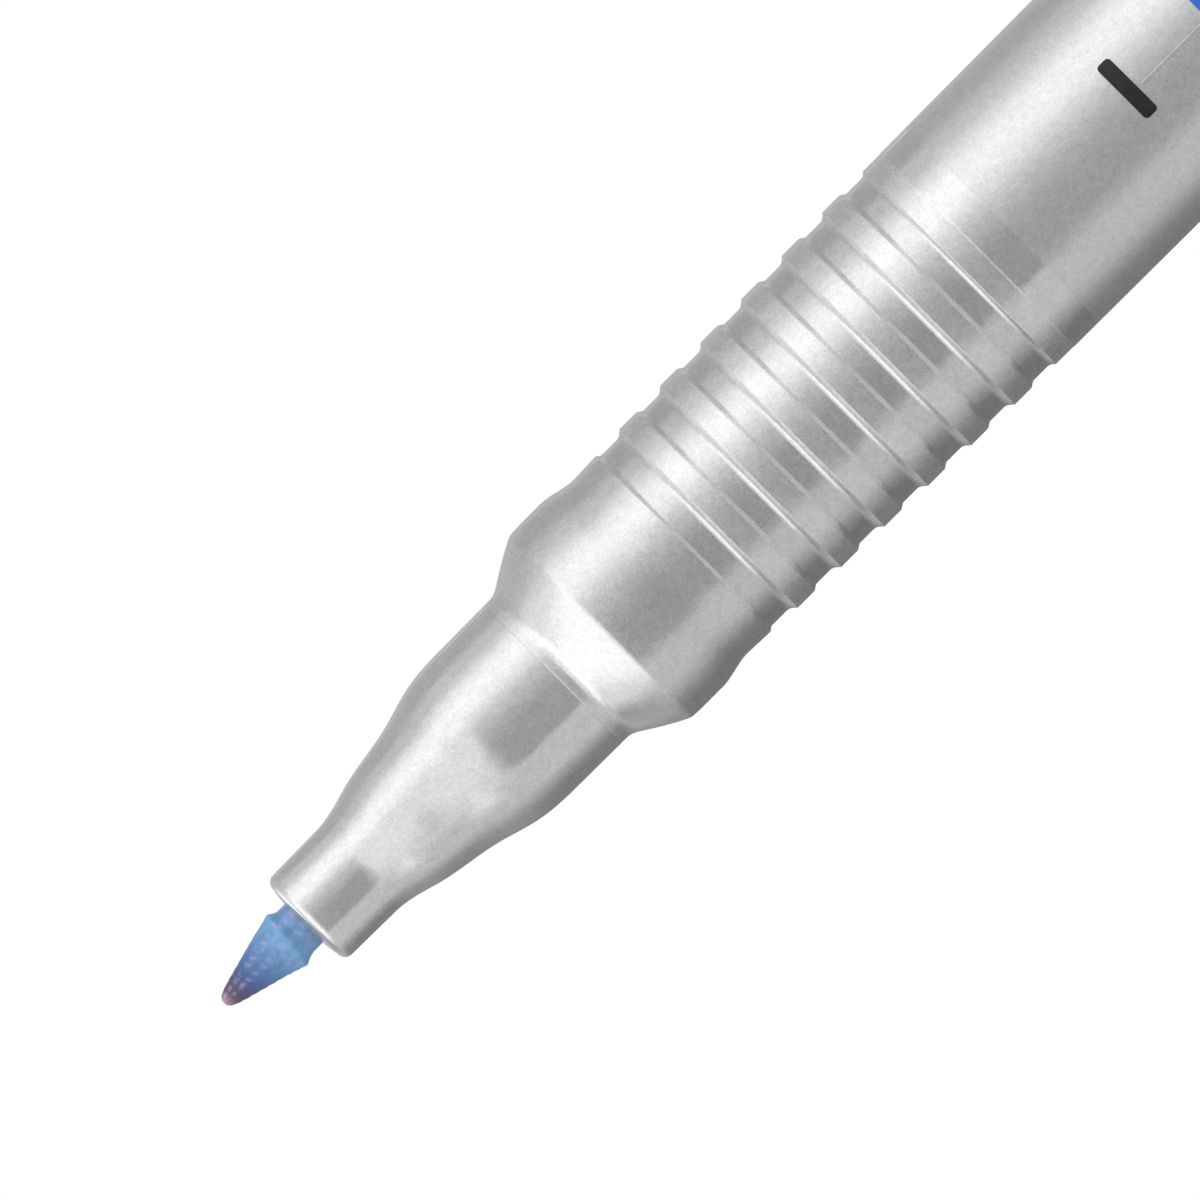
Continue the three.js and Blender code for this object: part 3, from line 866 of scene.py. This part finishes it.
def finish(piece, material, nodes=()):
    """Gives a piece its material slot and material, and hides the imported nodes that it stands for."""
    piece.data.materials.clear()
    piece.data.materials.append(material)
    if nodes:
        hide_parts(*nodes)


def dress(piece, body, material, nodes=()):
    """A finished piece that rides on a body."""
    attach(piece, body)
    finish(piece, material, nodes)


def faded(value, start, end):
    """0 before a start and 1 past an end, smooth in between."""
    share = max(0.0, min(1.0, (value - start) / (end - start)))
    return share * share * (3 - 2 * share)


def nib_surface(radius, height, angle):
    """Worn rings and lobes on the cone, and a crest that leans back on the +X side."""
    behind = TIP_Z - height
    wear_and_glint = faded(behind, *NIB_WEAR_START) * (1 - faded(behind, *NIB_WEAR_END))
    wander = sum(size * math.sin(count * angle + phase) for count, size, phase in NIB_RING_WANDER)
    ring = math.sin(2 * math.pi * behind / NIB_RING_SPACING + wander)
    lobe = math.cos(NIB_LOBES * (angle + math.pi / 2 - NIB_LOBE_TURN))
    ring_depth = NIB_RING_DEPTH * (1 - ring) / 2 * (1 - NIB_LOBE_SHARE + NIB_LOBE_SHARE * lobe)
    depth = ring_depth + NIB_LOBE_DEPTH * (1 - lobe) / 2
    leaning = faded(behind, *NIB_LEAN_START) * (1 - faded(behind, *NIB_LEAN_END))
    lean = NIB_CREST_LEAN * math.cos(angle) * leaning
    return radius - wear_and_glint * depth, height - lean


def behind_tip(distance):
    return TIP_Z - distance


def make_nib(material):
    tangent = math.radians(NIB_POINT_TANGENT)
    ball_z = behind_tip(NIB_POINT_R)
    ball_end = (
        NIB_POINT_R * math.cos(tangent),
        ball_z + NIB_POINT_R * math.sin(tangent),
        math.tan(tangent),
    )
    cone_start = (NIB_CONE_START_R, behind_tip(NIB_CONE_START), NIB_CONE_SLOPE)
    cone_end_r = NIB_CONE_START_R + NIB_CONE_SLOPE * (NIB_CONE_END - NIB_CONE_START)
    cone_end = (cone_end_r, behind_tip(NIB_CONE_END), NIB_CONE_SLOPE)
    crest_r = cone_end_r + NIB_CONE_SLOPE * (NIB_CREST - NIB_CONE_END) - NIB_CREST_WIDTH / 8
    crest_front = (crest_r, behind_tip(NIB_CREST - NIB_CREST_WIDTH / 2), 0)
    crest_back = (crest_r, behind_tip(NIB_CREST + NIB_CREST_WIDTH / 2), 0)
    slope_start_r = crest_r + NIB_CREST_BACK_SLOPE * NIB_CREST_WIDTH / 2
    slope_start = (slope_start_r, behind_tip(NIB_CREST + NIB_CREST_WIDTH * 1.5), NIB_CREST_BACK_SLOPE)
    rod_front = (NIB_ROD_R, behind_tip(NIB_ROD_START))
    outline = [
        (0, NIB_END_Z),
        (NIB_ROD_R, NIB_END_Z),
        (NIB_ROD_R, behind_tip(NIB_ROD_START + NIB_FINE_ROD_LENGTH)),
    ]
    outline += subdivided(outline[-1], rod_front, NIB_RING_STEP)
    outline += flare(rod_front, slope_start, 12)[1:]
    outline += flare(slope_start, crest_back, 4)[1:] + [crest_front[:2]]
    outline += flare(crest_front, cone_end, 8)[1:]
    outline += subdivided(cone_end[:2], cone_start[:2], NIB_RING_STEP)
    outline += flare(cone_start, ball_end, 18)[1:]
    outline += arc(0, ball_z, NIB_POINT_R, NIB_POINT_TANGENT, 90, 2 * ARC_STEPS)[1:-1] + [(0, TIP_Z)]
    piece = turned("nib_shape", outline, reshape=nib_surface)
    dress(piece, "pen", material, ["nib"])


def make_nose(material):
    land_z = NOSE_FRONT_Z - NOSE_LAND_LENGTH
    front = rounded(
        [
            (NOSE_LAND_R, land_z),
            (NOSE_FRONT_R, NOSE_FRONT_Z - NOSE_FRONT_FILLET),
            (NOSE_FRONT_R, NOSE_FRONT_Z, NOSE_FRONT_FILLET),
            (NIB_BORE_R + BORE_CHAMFER, NOSE_FRONT_Z + NOSE_FACE_RISE, FINE_FILLET),
            (NIB_BORE_R, NOSE_FRONT_Z - BORE_CHAMFER, FINE_FILLET),
            (NIB_BORE_R, NOSE_FRONT_Z - NIB_GUIDE_LENGTH),
        ]
    )
    knots = [(NOSE_LAND_R, land_z, 0)]
    for length, radius, slope in NOSE_FRONT_FLARE + NOSE_REAR_FLARE:
        knots.append((radius, knots[-1][1] - length, slope))
    knots.reverse()
    outline = [
        (NOSE_HOLLOW_R, SHANK_END_Z),
        (SHANK_R - SHANK_CHAMFER, SHANK_END_Z),
        (SHANK_R, SHANK_END_Z + SHANK_CHAMFER),
        (SHANK_R, SEAM_Z),
        (NOSE_SEAM_R - SEAM_LIP, SEAM_Z),
        (NOSE_SEAM_R + SEAM_LIP / 2, SEAM_Z + SEAM_LIP),
        (NOSE_SEAM_R, SEAM_Z + SEAM_BEAD_LENGTH),
        knots[0][:2],
    ]
    for lower, upper in zip(knots, knots[1:]):
        outline += flare(lower, upper, NOSE_FLARE_STEPS)[1:]
    outline += front[1:]
    outline.append((NOSE_HOLLOW_R, NOSE_FRONT_Z - NIB_GUIDE_LENGTH - NOSE_HOLLOW_R))
    piece = turned("nose_shape", outline)
    dress(piece, "pen", material, ["nose_cone"])


def grip_corners(grip_z):
    """Corners of the grooves and ribs, from the grip's front end backwards."""
    corners = []
    z = grip_z
    for k in range(GROOVES):
        rib_r = FIRST_RIB_R + RIB_GROWTH * k
        groove_r = rib_r - GROOVE_DEPTH
        groove_end = z - (GROOVE_LENGTH if k else FIRST_GROOVE_LENGTH)
        corners += [(groove_r, z, RIB_REAR_FILLET), (groove_r, groove_end, RIB_FOOT_FILLET)]
        z = groove_end
        if k < GROOVES - 1:
            z -= RIB_LENGTH
            corners += [
                (rib_r, groove_end - RIB_CHAMFER, RIB_FRONT_FILLET),
                (rib_r, z + RIB_REAR_CHAMFER, RIB_REAR_FILLET),
            ]
    return corners


def body_radius(z):
    """Radius of the barrel's body at a height."""
    share = (z - BARREL_END_Z) / (GRIP_END_Z - BARREL_END_Z)
    return BODY_REAR_R + (BODY_FRONT_R - BODY_REAR_R) * share


def make_barrel(material):
    foot = SHOULDER_FOOT_FILLET * math.tan(math.atan(SHOULDER_FRONT_SLOPE) / 2)
    lip_front = (NOSE_SEAM_R - SEAM_LIP, SEAM_Z, SEAM_LIP_SLOPE)
    lip_back = (NOSE_SEAM_R, SEAM_Z - SEAM_LIP_LENGTH)
    foot_front = (NOSE_SEAM_R, SHOULDER_FRONT_Z + foot)
    foot_back_r = NOSE_SEAM_R + foot * SHOULDER_FRONT_SLOPE
    foot_back = (foot_back_r, SHOULDER_FRONT_Z - foot, SHOULDER_FRONT_SLOPE)
    shoulder_front = (NOSE_SEAM_R, SHOULDER_FRONT_Z, SHOULDER_FRONT_SLOPE)
    shoulder_back = (SHOULDER_R, SHOULDER_BACK_Z, SHOULDER_BACK_SLOPE)
    bulge_front = (BULGE_ROUNDED_R, BULGE_FRONT_Z, BULGE_ROUNDED_SLOPE)
    bulge_crown = (BULGE_R, BULGE_FRONT_Z - BULGE_CROWN_LENGTH)
    shoulder = flare(shoulder_front, shoulder_back)
    front = [(SHANK_BORE_R, SEAM_Z)]
    front += flare(lip_front, lip_back, 6)
    front += flare(foot_front, foot_back, 8)
    front += [point for point in shoulder if point[1] < SHOULDER_FRONT_Z - foot]
    front += flare(shoulder_back, bulge_front, 12)[1:]
    front += flare(bulge_front, bulge_crown, 6)[1:]
    waist = flare((BULGE_R, BULGE_BACK_Z), (WAIST_R, WAIST_Z))
    grip = rounded(
        [(WAIST_R, WAIST_Z), (GRIP_START_R, GRIP_START_Z + GRIP_STEP_LENGTH, EDGE_FILLET)]
        + grip_corners(GRIP_START_Z)
        + [
            (body_radius(GRIP_END_Z) - RING_RISE, GRIP_END_Z - BODY_CHAMFER, RIB_FRONT_FILLET),
            (body_radius(RING_TOP_Z) - RING_RISE, RING_TOP_Z + RING_RISE_LENGTH, EDGE_FILLET),
            (body_radius(RING_TOP_Z), RING_TOP_Z, EDGE_FILLET),
            (BODY_REAR_R, BARREL_END_Z, BODY_EDGE),
            (PLUG_BORE_R, BARREL_END_Z, EDGE_FILLET),
            (PLUG_BORE_R, BARREL_END_Z + PLUG_LENGTH),
            (CHAMBER_R, BARREL_END_Z + PLUG_LENGTH),
            (CHAMBER_R, SHANK_END_Z - SHANK_CLEARANCE),
            (SHANK_BORE_R, SHANK_END_Z - SHANK_CLEARANCE),
        ]
    )[1:]
    piece = turned("barrel_shape", front + waist + grip)
    dress(piece, "pen", material, ["barrel"])


def make_prints(black, blue, silver):
    mark_z = behind_tip(MARK_BEHIND_TIP)
    mark = wrapped_patch(
        "stroke_mark",
        body_radius,
        mark_z - MARK_WIDTH / 2,
        mark_z + MARK_WIDTH / 2,
        MARK_SIDE / body_radius(mark_z),
        MARK_LENGTH,
        MARK_CORNER,
    )
    dress(mark, "pen", black)
    panel_top = behind_tip(PANEL_BEHIND_TIP)
    panel_end = panel_top - PANEL_LENGTH
    width = PANEL_WRAP * body_radius(panel_top)
    panel = wrapped_patch("print_panel", body_radius, panel_end, panel_top, PANEL_TURN, width, PANEL_CORNER)
    dress(panel, "pen", blue)
    free_stretches = [
        (panel_top + PRINT_GAP, behind_tip(PARTING_LINE_BEHIND_TIP)),
        (BARREL_END_Z + PARTING_LINE_END_GAP, panel_end - PRINT_GAP),
    ]
    for start_z, end_z in free_stretches:
        seam = wrapped_patch(
            "parting_line",
            body_radius,
            start_z,
            end_z,
            PARTING_LINE_TURN,
            PARTING_LINE_WIDTH,
            PARTING_LINE_WIDTH / 2,
            PARTING_LINE_CROWN,
        )
        dress(seam, "pen", silver)


def make_tail_plug(material):
    floor_z = TAIL_END_Z + TAIL_WALL
    end = flare((TAIL_END_R, TAIL_END_Z), (TAIL_R, TAIL_END_Z + TAIL_ROUNDING))
    outline = [(0, TAIL_END_Z)] + end + rounded(
        [
            (TAIL_R, TAIL_END_Z + TAIL_ROUNDING),
            (TAIL_R, BARREL_END_Z, TAIL_STEP_FILLET),
            (PLUG_R, BARREL_END_Z),
            (PLUG_R, BARREL_END_Z + PLUG_LENGTH, WIDE_FILLET),
            (PLUG_INNER_R, BARREL_END_Z + PLUG_LENGTH, EDGE_FILLET),
            (PLUG_INNER_R, floor_z, INNER_FILLET),
            (POST_OUTER_R, floor_z),
            (POST_OUTER_R, POST_TOP_Z, EDGE_FILLET),
            (POST_INNER_R, POST_TOP_Z, EDGE_FILLET),
            (POST_INNER_R, floor_z, INNER_FILLET),
            (0, floor_z),
        ]
    )[1:]
    piece = turned("tail_plug_shape", outline)
    dress(piece, "pen", material, ["tail_plug"])


def cap_radius(z):
    """Outer radius of the cap at a height."""
    return CAP_END_R + (CAP_MOUTH_R - CAP_END_R) * z / CAP_MOUTH_Z


def make_cap(material):
    band_z = CAP_MOUTH_Z - CAP_BAND_LENGTH
    band_r = CAP_MOUTH_R + CAP_BAND_RISE
    bore_end_z = CAP_MOUTH_Z - CAP_BORE_DEPTH
    outline = rounded(
        [
            (0, 0),
            (CAP_END_R, 0, CAP_END_ROUNDING),
            (cap_radius(band_z), band_z, EDGE_FILLET),
            (band_r, band_z + CAP_BAND_RISE, EDGE_FILLET),
            (band_r, CAP_MOUTH_Z, MOUTH_ROUNDING),
            (CAP_BORE_R, CAP_MOUTH_Z, MOUTH_ROUNDING),
            (CAP_BORE_R, bore_end_z),
            (CAP_CORE_R, bore_end_z - CAP_BORE_R + CAP_CORE_R),
            (CAP_CORE_R, CAP_END_WALL, WIDE_FILLET),
            (0, CAP_END_WALL),
        ],
        CAP_ARC_STEPS,
    )
    piece = turned("cap_shape", outline)
    rib_top = FLANGE_Z - FLANGE_THICKNESS
    ribs = []
    for k in range(CAP_RIBS):
        rib_low = (CAP_RIB_R, -CAP_RIB_WIDTH / 2, CAP_END_WALL / 2)
        rib_high = (CAP_RIB_OUTER_R, CAP_RIB_WIDTH / 2, rib_top)
        rib = boxed("cap_rib", rib_low, rib_high)
        rib.data.transform(Matrix.Rotation((k + 0.5) * 2 * math.pi / CAP_RIBS, 4, "Z"))
        ribs.append(rib)
    combine(piece, ribs, "UNION")
    vents = []
    for side in (-1, 1):
        middle = side * VENT_OFFSET
        vent_low = (middle - VENT_WIDTH / 2, -VENT_LENGTH / 2, -VENT_CUT_BELOW)
        vent_high = (middle + VENT_WIDTH / 2, VENT_LENGTH / 2, CAP_END_WALL + VENT_CUT_ABOVE)
        vents.append(boxed("vent", vent_low, vent_high))
    combine(piece, vents, "DIFFERENCE")
    dress(piece, "cap", material, ["cap_shell"])


def make_inner_cap(material):
    seat_z = FLANGE_Z - FLANGE_THICKNESS
    lead_z = FLANGE_Z - LEAD_IN_LENGTH
    seal_end_z = lead_z - SEAL_LENGTH
    outline = rounded(
        [
            (0, INNER_CAP_END_Z),
            (INNER_CAP_R, INNER_CAP_END_Z, ROUND_FILLET),
            (INNER_CAP_R, seat_z),
            (FLANGE_R, seat_z, EDGE_FILLET),
            (FLANGE_R, FLANGE_Z, INNER_FILLET),
            (LEAD_IN_R, FLANGE_Z, INNER_FILLET),
            (SEAL_R, lead_z, LEAD_IN_FILLET),
            (SEAL_R, seal_end_z, EDGE_FILLET),
            (NIB_ROOM_R, seal_end_z),
            (NIB_ROOM_R, INNER_CAP_END_Z + INNER_CAP_END_WALL, ROUND_FILLET),
            (0, INNER_CAP_END_Z + INNER_CAP_END_WALL),
        ]
    )
    piece = turned("inner_cap_shape", outline)
    dress(piece, "seal", material, ["inner_cap"])


def clip_outline():
    """The spring arm and its root in one moulding, as (distance from the axis, height)."""
    outer = CLIP_INNER + CLIP_THICKNESS
    flared = outer + CLIP_TIP_FLARE
    tip_z = CLIP_TOP_Z - CLIP_TIP_LENGTH
    bump_z = tip_z - CLIP_BUMP_LENGTH
    bump_peak = (CLIP_INNER - 2 * CLIP_BUMP_RISE, (tip_z + bump_z) / 2)
    foot_end = (outer, CLIP_FOOT_Z + CLIP_FOOT_HEIGHT)
    root_end = (CLIP_INNER - CLIP_ROOT_ROUNDING, CLIP_ROOT_TOP_Z)
    side = [(CLIP_ROOT_INNER, CLIP_FOOT_Z), (outer - CLIP_FOOT_DEPTH, CLIP_FOOT_Z)]
    side += curve_points(side[-1], (outer, CLIP_FOOT_Z), foot_end, CLIP_CURVE_STEPS)
    side += line_points(side[-1], (outer, tip_z), CLIP_OUTER_STEPS)
    side += curve_points(side[-1], (outer, CLIP_TOP_Z), (flared, CLIP_TOP_Z), CLIP_CURVE_STEPS)
    side.append((flared - CLIP_THICKNESS / 2, CLIP_TOP_Z))
    side += curve_points(side[-1], (CLIP_INNER, CLIP_TOP_Z), (CLIP_INNER, tip_z), CLIP_CURVE_STEPS)
    side += curve_points(side[-1], bump_peak, (CLIP_INNER, bump_z), CLIP_INNER_STEPS)
    side += line_points(side[-1], (CLIP_INNER, CLIP_BEND_START_Z), CLIP_INNER_STEPS)
    side += curve_points(side[-1], (CLIP_INNER, CLIP_ROOT_TOP_Z), root_end, CLIP_ROOT_STEPS)
    side.append((CLIP_ROOT_INNER, CLIP_ROOT_TOP_Z))
    return side


def make_clip(material):
    side = clip_outline()
    points = []
    for sign in (-1, 1):
        for distance, z in side:
            share = (z - CLIP_FOOT_Z) / (CLIP_TOP_Z - CLIP_FOOT_Z)
            half = CLIP_WIDTH / 2 * (1 - CLIP_TAPER * share)
            points.append((sign * half, -distance, z))
    count = len(side)
    faces = [list(range(count)), list(range(2 * count - 1, count - 1, -1))]
    for i in range(count):
        n = (i + 1) % count
        faces.append((i, i + count, n + count, n))
    mesh = new_mesh("clip_shape", points, faces)
    piece = new_object("clip_shape", mesh)
    bevel = piece.modifiers.new("edge", "BEVEL")
    bevel.width = CLIP_EDGE * MM
    bevel.segments = CLIP_EDGE_STEPS
    bevel.limit_method = "ANGLE"
    bevel.angle_limit = CLIP_EDGE_ANGLE
    mark_sharp(mesh)
    weight_normals(piece)
    finish(piece, material, ["clip"])
    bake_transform(piece)


def dress_hidden_nodes():
    """Finishes for the pieces inside the barrel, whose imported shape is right."""
    for node, material in (("ink_reservoir", core_fibre()), ("reservoir_sleeve", clear_film())):
        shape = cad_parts[node]
        shape.data.materials.clear()
        shape.data.materials.append(material)


# Studio


def outward(azimuth, elevation):
    """Unit vector from the pen, azimuth in degrees from the camera's side (-Y) towards +X."""
    a = math.radians(azimuth)
    e = math.radians(elevation)
    return Vector((math.sin(a) * math.cos(e), -math.cos(a) * math.cos(e), math.sin(e)))


def aimed(azimuth, elevation, distance):
    """A matrix that places a lamp or card round the front of the pen, facing it."""
    centre = Vector((0, 0, (TIP_Z - PHOTO_CENTRE_BEHIND_TIP) * MM))
    direction = outward(azimuth, elevation)
    turn = direction.to_track_quat("Z", "Y").to_matrix().to_4x4()
    return Matrix.Translation(centre + direction * distance) @ turn


def lamp(name, azimuth, elevation, width, height, radiance):
    """A rectangular soft lamp that lights the object without showing in its gloss."""
    data = bpy.data.lights.new(name, "AREA")
    data.shape = "RECTANGLE"
    data.size = width
    data.size_y = height
    data.energy = radiance * math.pi * width * height
    light = new_object(name, data)
    light.matrix_world = aimed(azimuth, elevation, STUDIO_DISTANCE)
    light.visible_camera = False
    light.visible_glossy = False


def soft_mask(tree, width, height, soft):
    """1 in the middle of a card and 0 at its edges, with a faded share at each of them."""
    axes = object_axes(tree)
    edges = (
        ("X", -width / 2, width * soft[0]),
        ("X", width / 2, -width * soft[1]),
        ("Y", -height / 2, height * soft[2]),
        ("Y", height / 2, -height * soft[3]),
    )
    mask = 1.0
    for axis, start, reach in edges:
        fade = tree.nodes.new("ShaderNodeMapRange")
        fade.interpolation_type = "SMOOTHSTEP"
        set_values(fade, {"From Min": start, "From Max": start + reach})
        tree.links.new(axes[axis], fade.inputs["Value"])
        mask = times(tree, fade.outputs["Result"], mask)
    return mask


def card(name, azimuth, elevation, level, soft, distance=STUDIO_DISTANCE):
    """A soft-edged card that only gloss shows, over a range of azimuth and of elevation in degrees.

    Soft is the faded share at its low and high azimuth and at its low and high elevation. A card at a
    smaller distance covers those behind it.
    """
    half_azimuth = math.radians(azimuth[1] - azimuth[0]) / 2
    half_elevation = math.radians(elevation[1] - elevation[0]) / 2
    width = 2 * distance * math.tan(half_azimuth)
    height = 2 * distance * math.tan(half_elevation)
    w = width / 2
    h = height / 2
    mesh = bpy.data.meshes.new(name)
    mesh.from_pydata([(-w, -h, 0), (w, -h, 0), (w, h, 0), (-w, h, 0)], [], [(0, 1, 2, 3)])
    piece = new_object(name, mesh)
    piece.matrix_world = aimed(sum(azimuth) / 2, sum(elevation) / 2, distance)
    for flag in ("camera", "diffuse", "transmission", "volume_scatter", "shadow"):
        setattr(piece, "visible_" + flag, False)
    material = bpy.data.materials.new(name)
    material.use_nodes = True
    tree = material.node_tree
    tree.nodes.clear()
    clear = tree.nodes.new("ShaderNodeBsdfTransparent")
    glow = tree.nodes.new("ShaderNodeEmission")
    glow.inputs["Strength"].default_value = level
    surface = mix_shaders(tree, soft_mask(tree, width, height, soft), clear, glow)
    output = tree.nodes.new("ShaderNodeOutputMaterial")
    tree.links.new(surface, output.inputs["Surface"])
    material.cycles.emission_sampling = "NONE"
    mesh.materials.append(material)


def background_share(tree):
    """1 for camera, glossy and transmission rays, which see the background, and 0 for the rest."""
    path = tree.nodes.new("ShaderNodeLightPath")
    seen = math_node(tree, "MAXIMUM", path.outputs["Is Camera Ray"], path.outputs["Is Glossy Ray"])
    return math_node(tree, "MAXIMUM", seen, path.outputs["Is Transmission Ray"])


def make_world(ambient):
    """White behind the object, and a plain ambient level on it."""
    world = bpy.data.worlds.new("world")
    bpy.context.scene.world = world
    world.use_nodes = True
    tree = world.node_tree
    tree.nodes.clear()
    background = tree.nodes.new("ShaderNodeBackground")
    background.inputs["Color"].default_value = (1, 1, 1, 1)
    strength = remap(tree, background_share(tree), ambient, 1.0)
    tree.links.new(strength, background.inputs["Strength"])
    output = tree.nodes.new("ShaderNodeOutputWorld")
    tree.links.new(background.outputs["Background"], output.inputs["Surface"])


def make_floor():
    """A pale floor that keeps the object's shadow and turns into the white background away from it."""
    mesh = bpy.data.meshes.new("floor")
    corners = [(x * FLOOR_REACH, y * FLOOR_REACH, 0) for x, y in ((-1, -1), (1, -1), (1, 1), (-1, 1))]
    mesh.from_pydata(corners, [], [(0, 1, 2, 3)])
    floor = new_object("floor", mesh)
    material, tree, shader = new_material("floor")
    set_values(shader, {"Roughness": 0.9, "Specular IOR Level": 0.1})
    cloud = noise(tree, FLOOR_CLOUD, detail=1.0)
    colour_from(tree, shader, cloud, [(0, (0.93, 0.93, 0.93)), (1, (0.95, 0.95, 0.95))])
    distance = tree.nodes.new("ShaderNodeVectorMath")
    distance.operation = "LENGTH"
    tree.links.new(object_point(tree), distance.inputs[0])
    far = remap(tree, distance.outputs["Value"], 0, 1, FLOOR_FADE_START, FLOOR_FADE_END)
    white = tree.nodes.new("ShaderNodeEmission")
    surface = mix_shaders(tree, times(tree, far, background_share(tree)), shader, white)
    tree.links.new(surface, tree.nodes["Material Output"].inputs["Surface"])
    mesh.materials.append(material)
    floor.visible_glossy = False


def light_scene():
    make_world(ambient=0.5)
    make_floor()
    lamp("key_lamp", 54, 15, 0.35, 0.7, 1.7)
    lamp("fill_lamp", -60, 10, 0.3, 0.7, 1.2)
    lamp("top_lamp", 5, 65, 0.5, 0.3, 1.2)
    lamp("back_lamp", 180, 15, 0.35, 0.7, 1.2)
    card("key_card", (14, 92), (-60, 62), 2.2, (0.5, 0.5, 0.05, 0.1))
    card("dark_front_card", (-52, 22), (-58, 25), 0.5, (0.015, 0.5, 0.05, 0.27), distance=0.42)
    card("sky_card", (-62, 60), (10, 48), 1.64, (0.5, 0.3, 0.3, 0.05))
    card("top_card", (-71, 56), (38, 76), 2.35, (0.42, 0.4, 0.2, 0.27), distance=0.45)
    card("back_top_card", (-36, 14), (94, 150), 2.4, (0.4, 0.4, 0.2, 0.3))
    card("grey_top_card", (4, 66), (97, 152), 0.5, (0.35, 0.2, 0.2, 0.2), distance=0.48)
    card("high_key_card", (70, 150), (38, 84), 1.5, (0.4, 0.4, 0.3, 0.3), distance=0.62)
    card("high_fill_card", (-150, -72), (36, 76), 1.6, (0.3, 0.4, 0.3, 0.3), distance=0.62)
    card("dark_right_card", (-180, -86), (-40, 31), 0.2, (0.02, 0.45, 0.12, 0.45), distance=0.6)
    card("grey_right_card", (-180, -95), (5, 52), 0.6, (0.02, 0.5, 0.3, 0.3), distance=0.65)
    card("grey_left_card", (100, 153.5), (-45, 62), 0.6, (0.3, 0.02, 0.1, 0.6), distance=0.6)
    card("grey_edge_card", (155.5, 180), (-45, 62), 0.6, (0.02, 0.02, 0.1, 0.2), distance=0.6)


make_camera()
bpy.context.scene.view_settings.view_transform = "Standard"
light_scene()

silver_nose = silver_plastic(
    "silver_plastic_nose",
    metallic=0.7,
    # The tones are painted light and shade, set band by band as the lamps light the silver
    finish_and_painted_tone=[
        (SEAM_Z, 0.1, 1.04),
        (SEAM_Z + 3.5, 0.11, 1.03),
        (SEAM_Z + 5, 0.15, 1.0),
        (NOSE_FRONT_Z - NOSE_LAND_LENGTH, 0.13, 1.03),
        (NOSE_FRONT_Z - 1.2, 0.13, 1.04),
        (NOSE_FRONT_Z - 0.2, 0.24, 1.08),
    ],
)
silver_barrel = silver_plastic(
    "silver_plastic_barrel",
    metallic=0.8,
    ribbed=True,
    # The tones are painted light and shade, set band by band as the lamps light the silver
    finish_and_painted_tone=[
        (RING_END_Z - 0.03, 0.31, 1.0),
        (RING_END_Z, 0.08, 1.02),
        (RING_TOP_Z, 0.08, 1.02),
        (RING_TOP_Z + 0.05, 0.2, 0.96),
        (GRIP_START_Z, 0.22, 0.96),
        (GRIP_START_Z + 0.1, 0.23, 1.0),
        (SHOULDER_BACK_Z, 0.26, 1.0),
        (SHOULDER_FRONT_Z, 0.16, 1.04),
        (SEAM_Z - SEAM_COLLAR_LENGTH / 2, 0.34, 1.04),
    ],
)
blue = blue_plastic()
make_nib(nib_fibre())
make_nose(silver_nose)
make_barrel(silver_barrel)
make_prints(
    printed_ink("print_black", (0.006, 0.005, 0.006), (0.012, 0.011, 0.012), 0.5),
    printed_ink("print_blue", (0.03, 0.13, 0.52), (0.04, 0.15, 0.57), 0.35),
    silver_barrel,
)
make_tail_plug(blue)
make_cap(blue)
make_inner_cap(seal_plastic())
make_clip(blue)
dress_hidden_nodes()
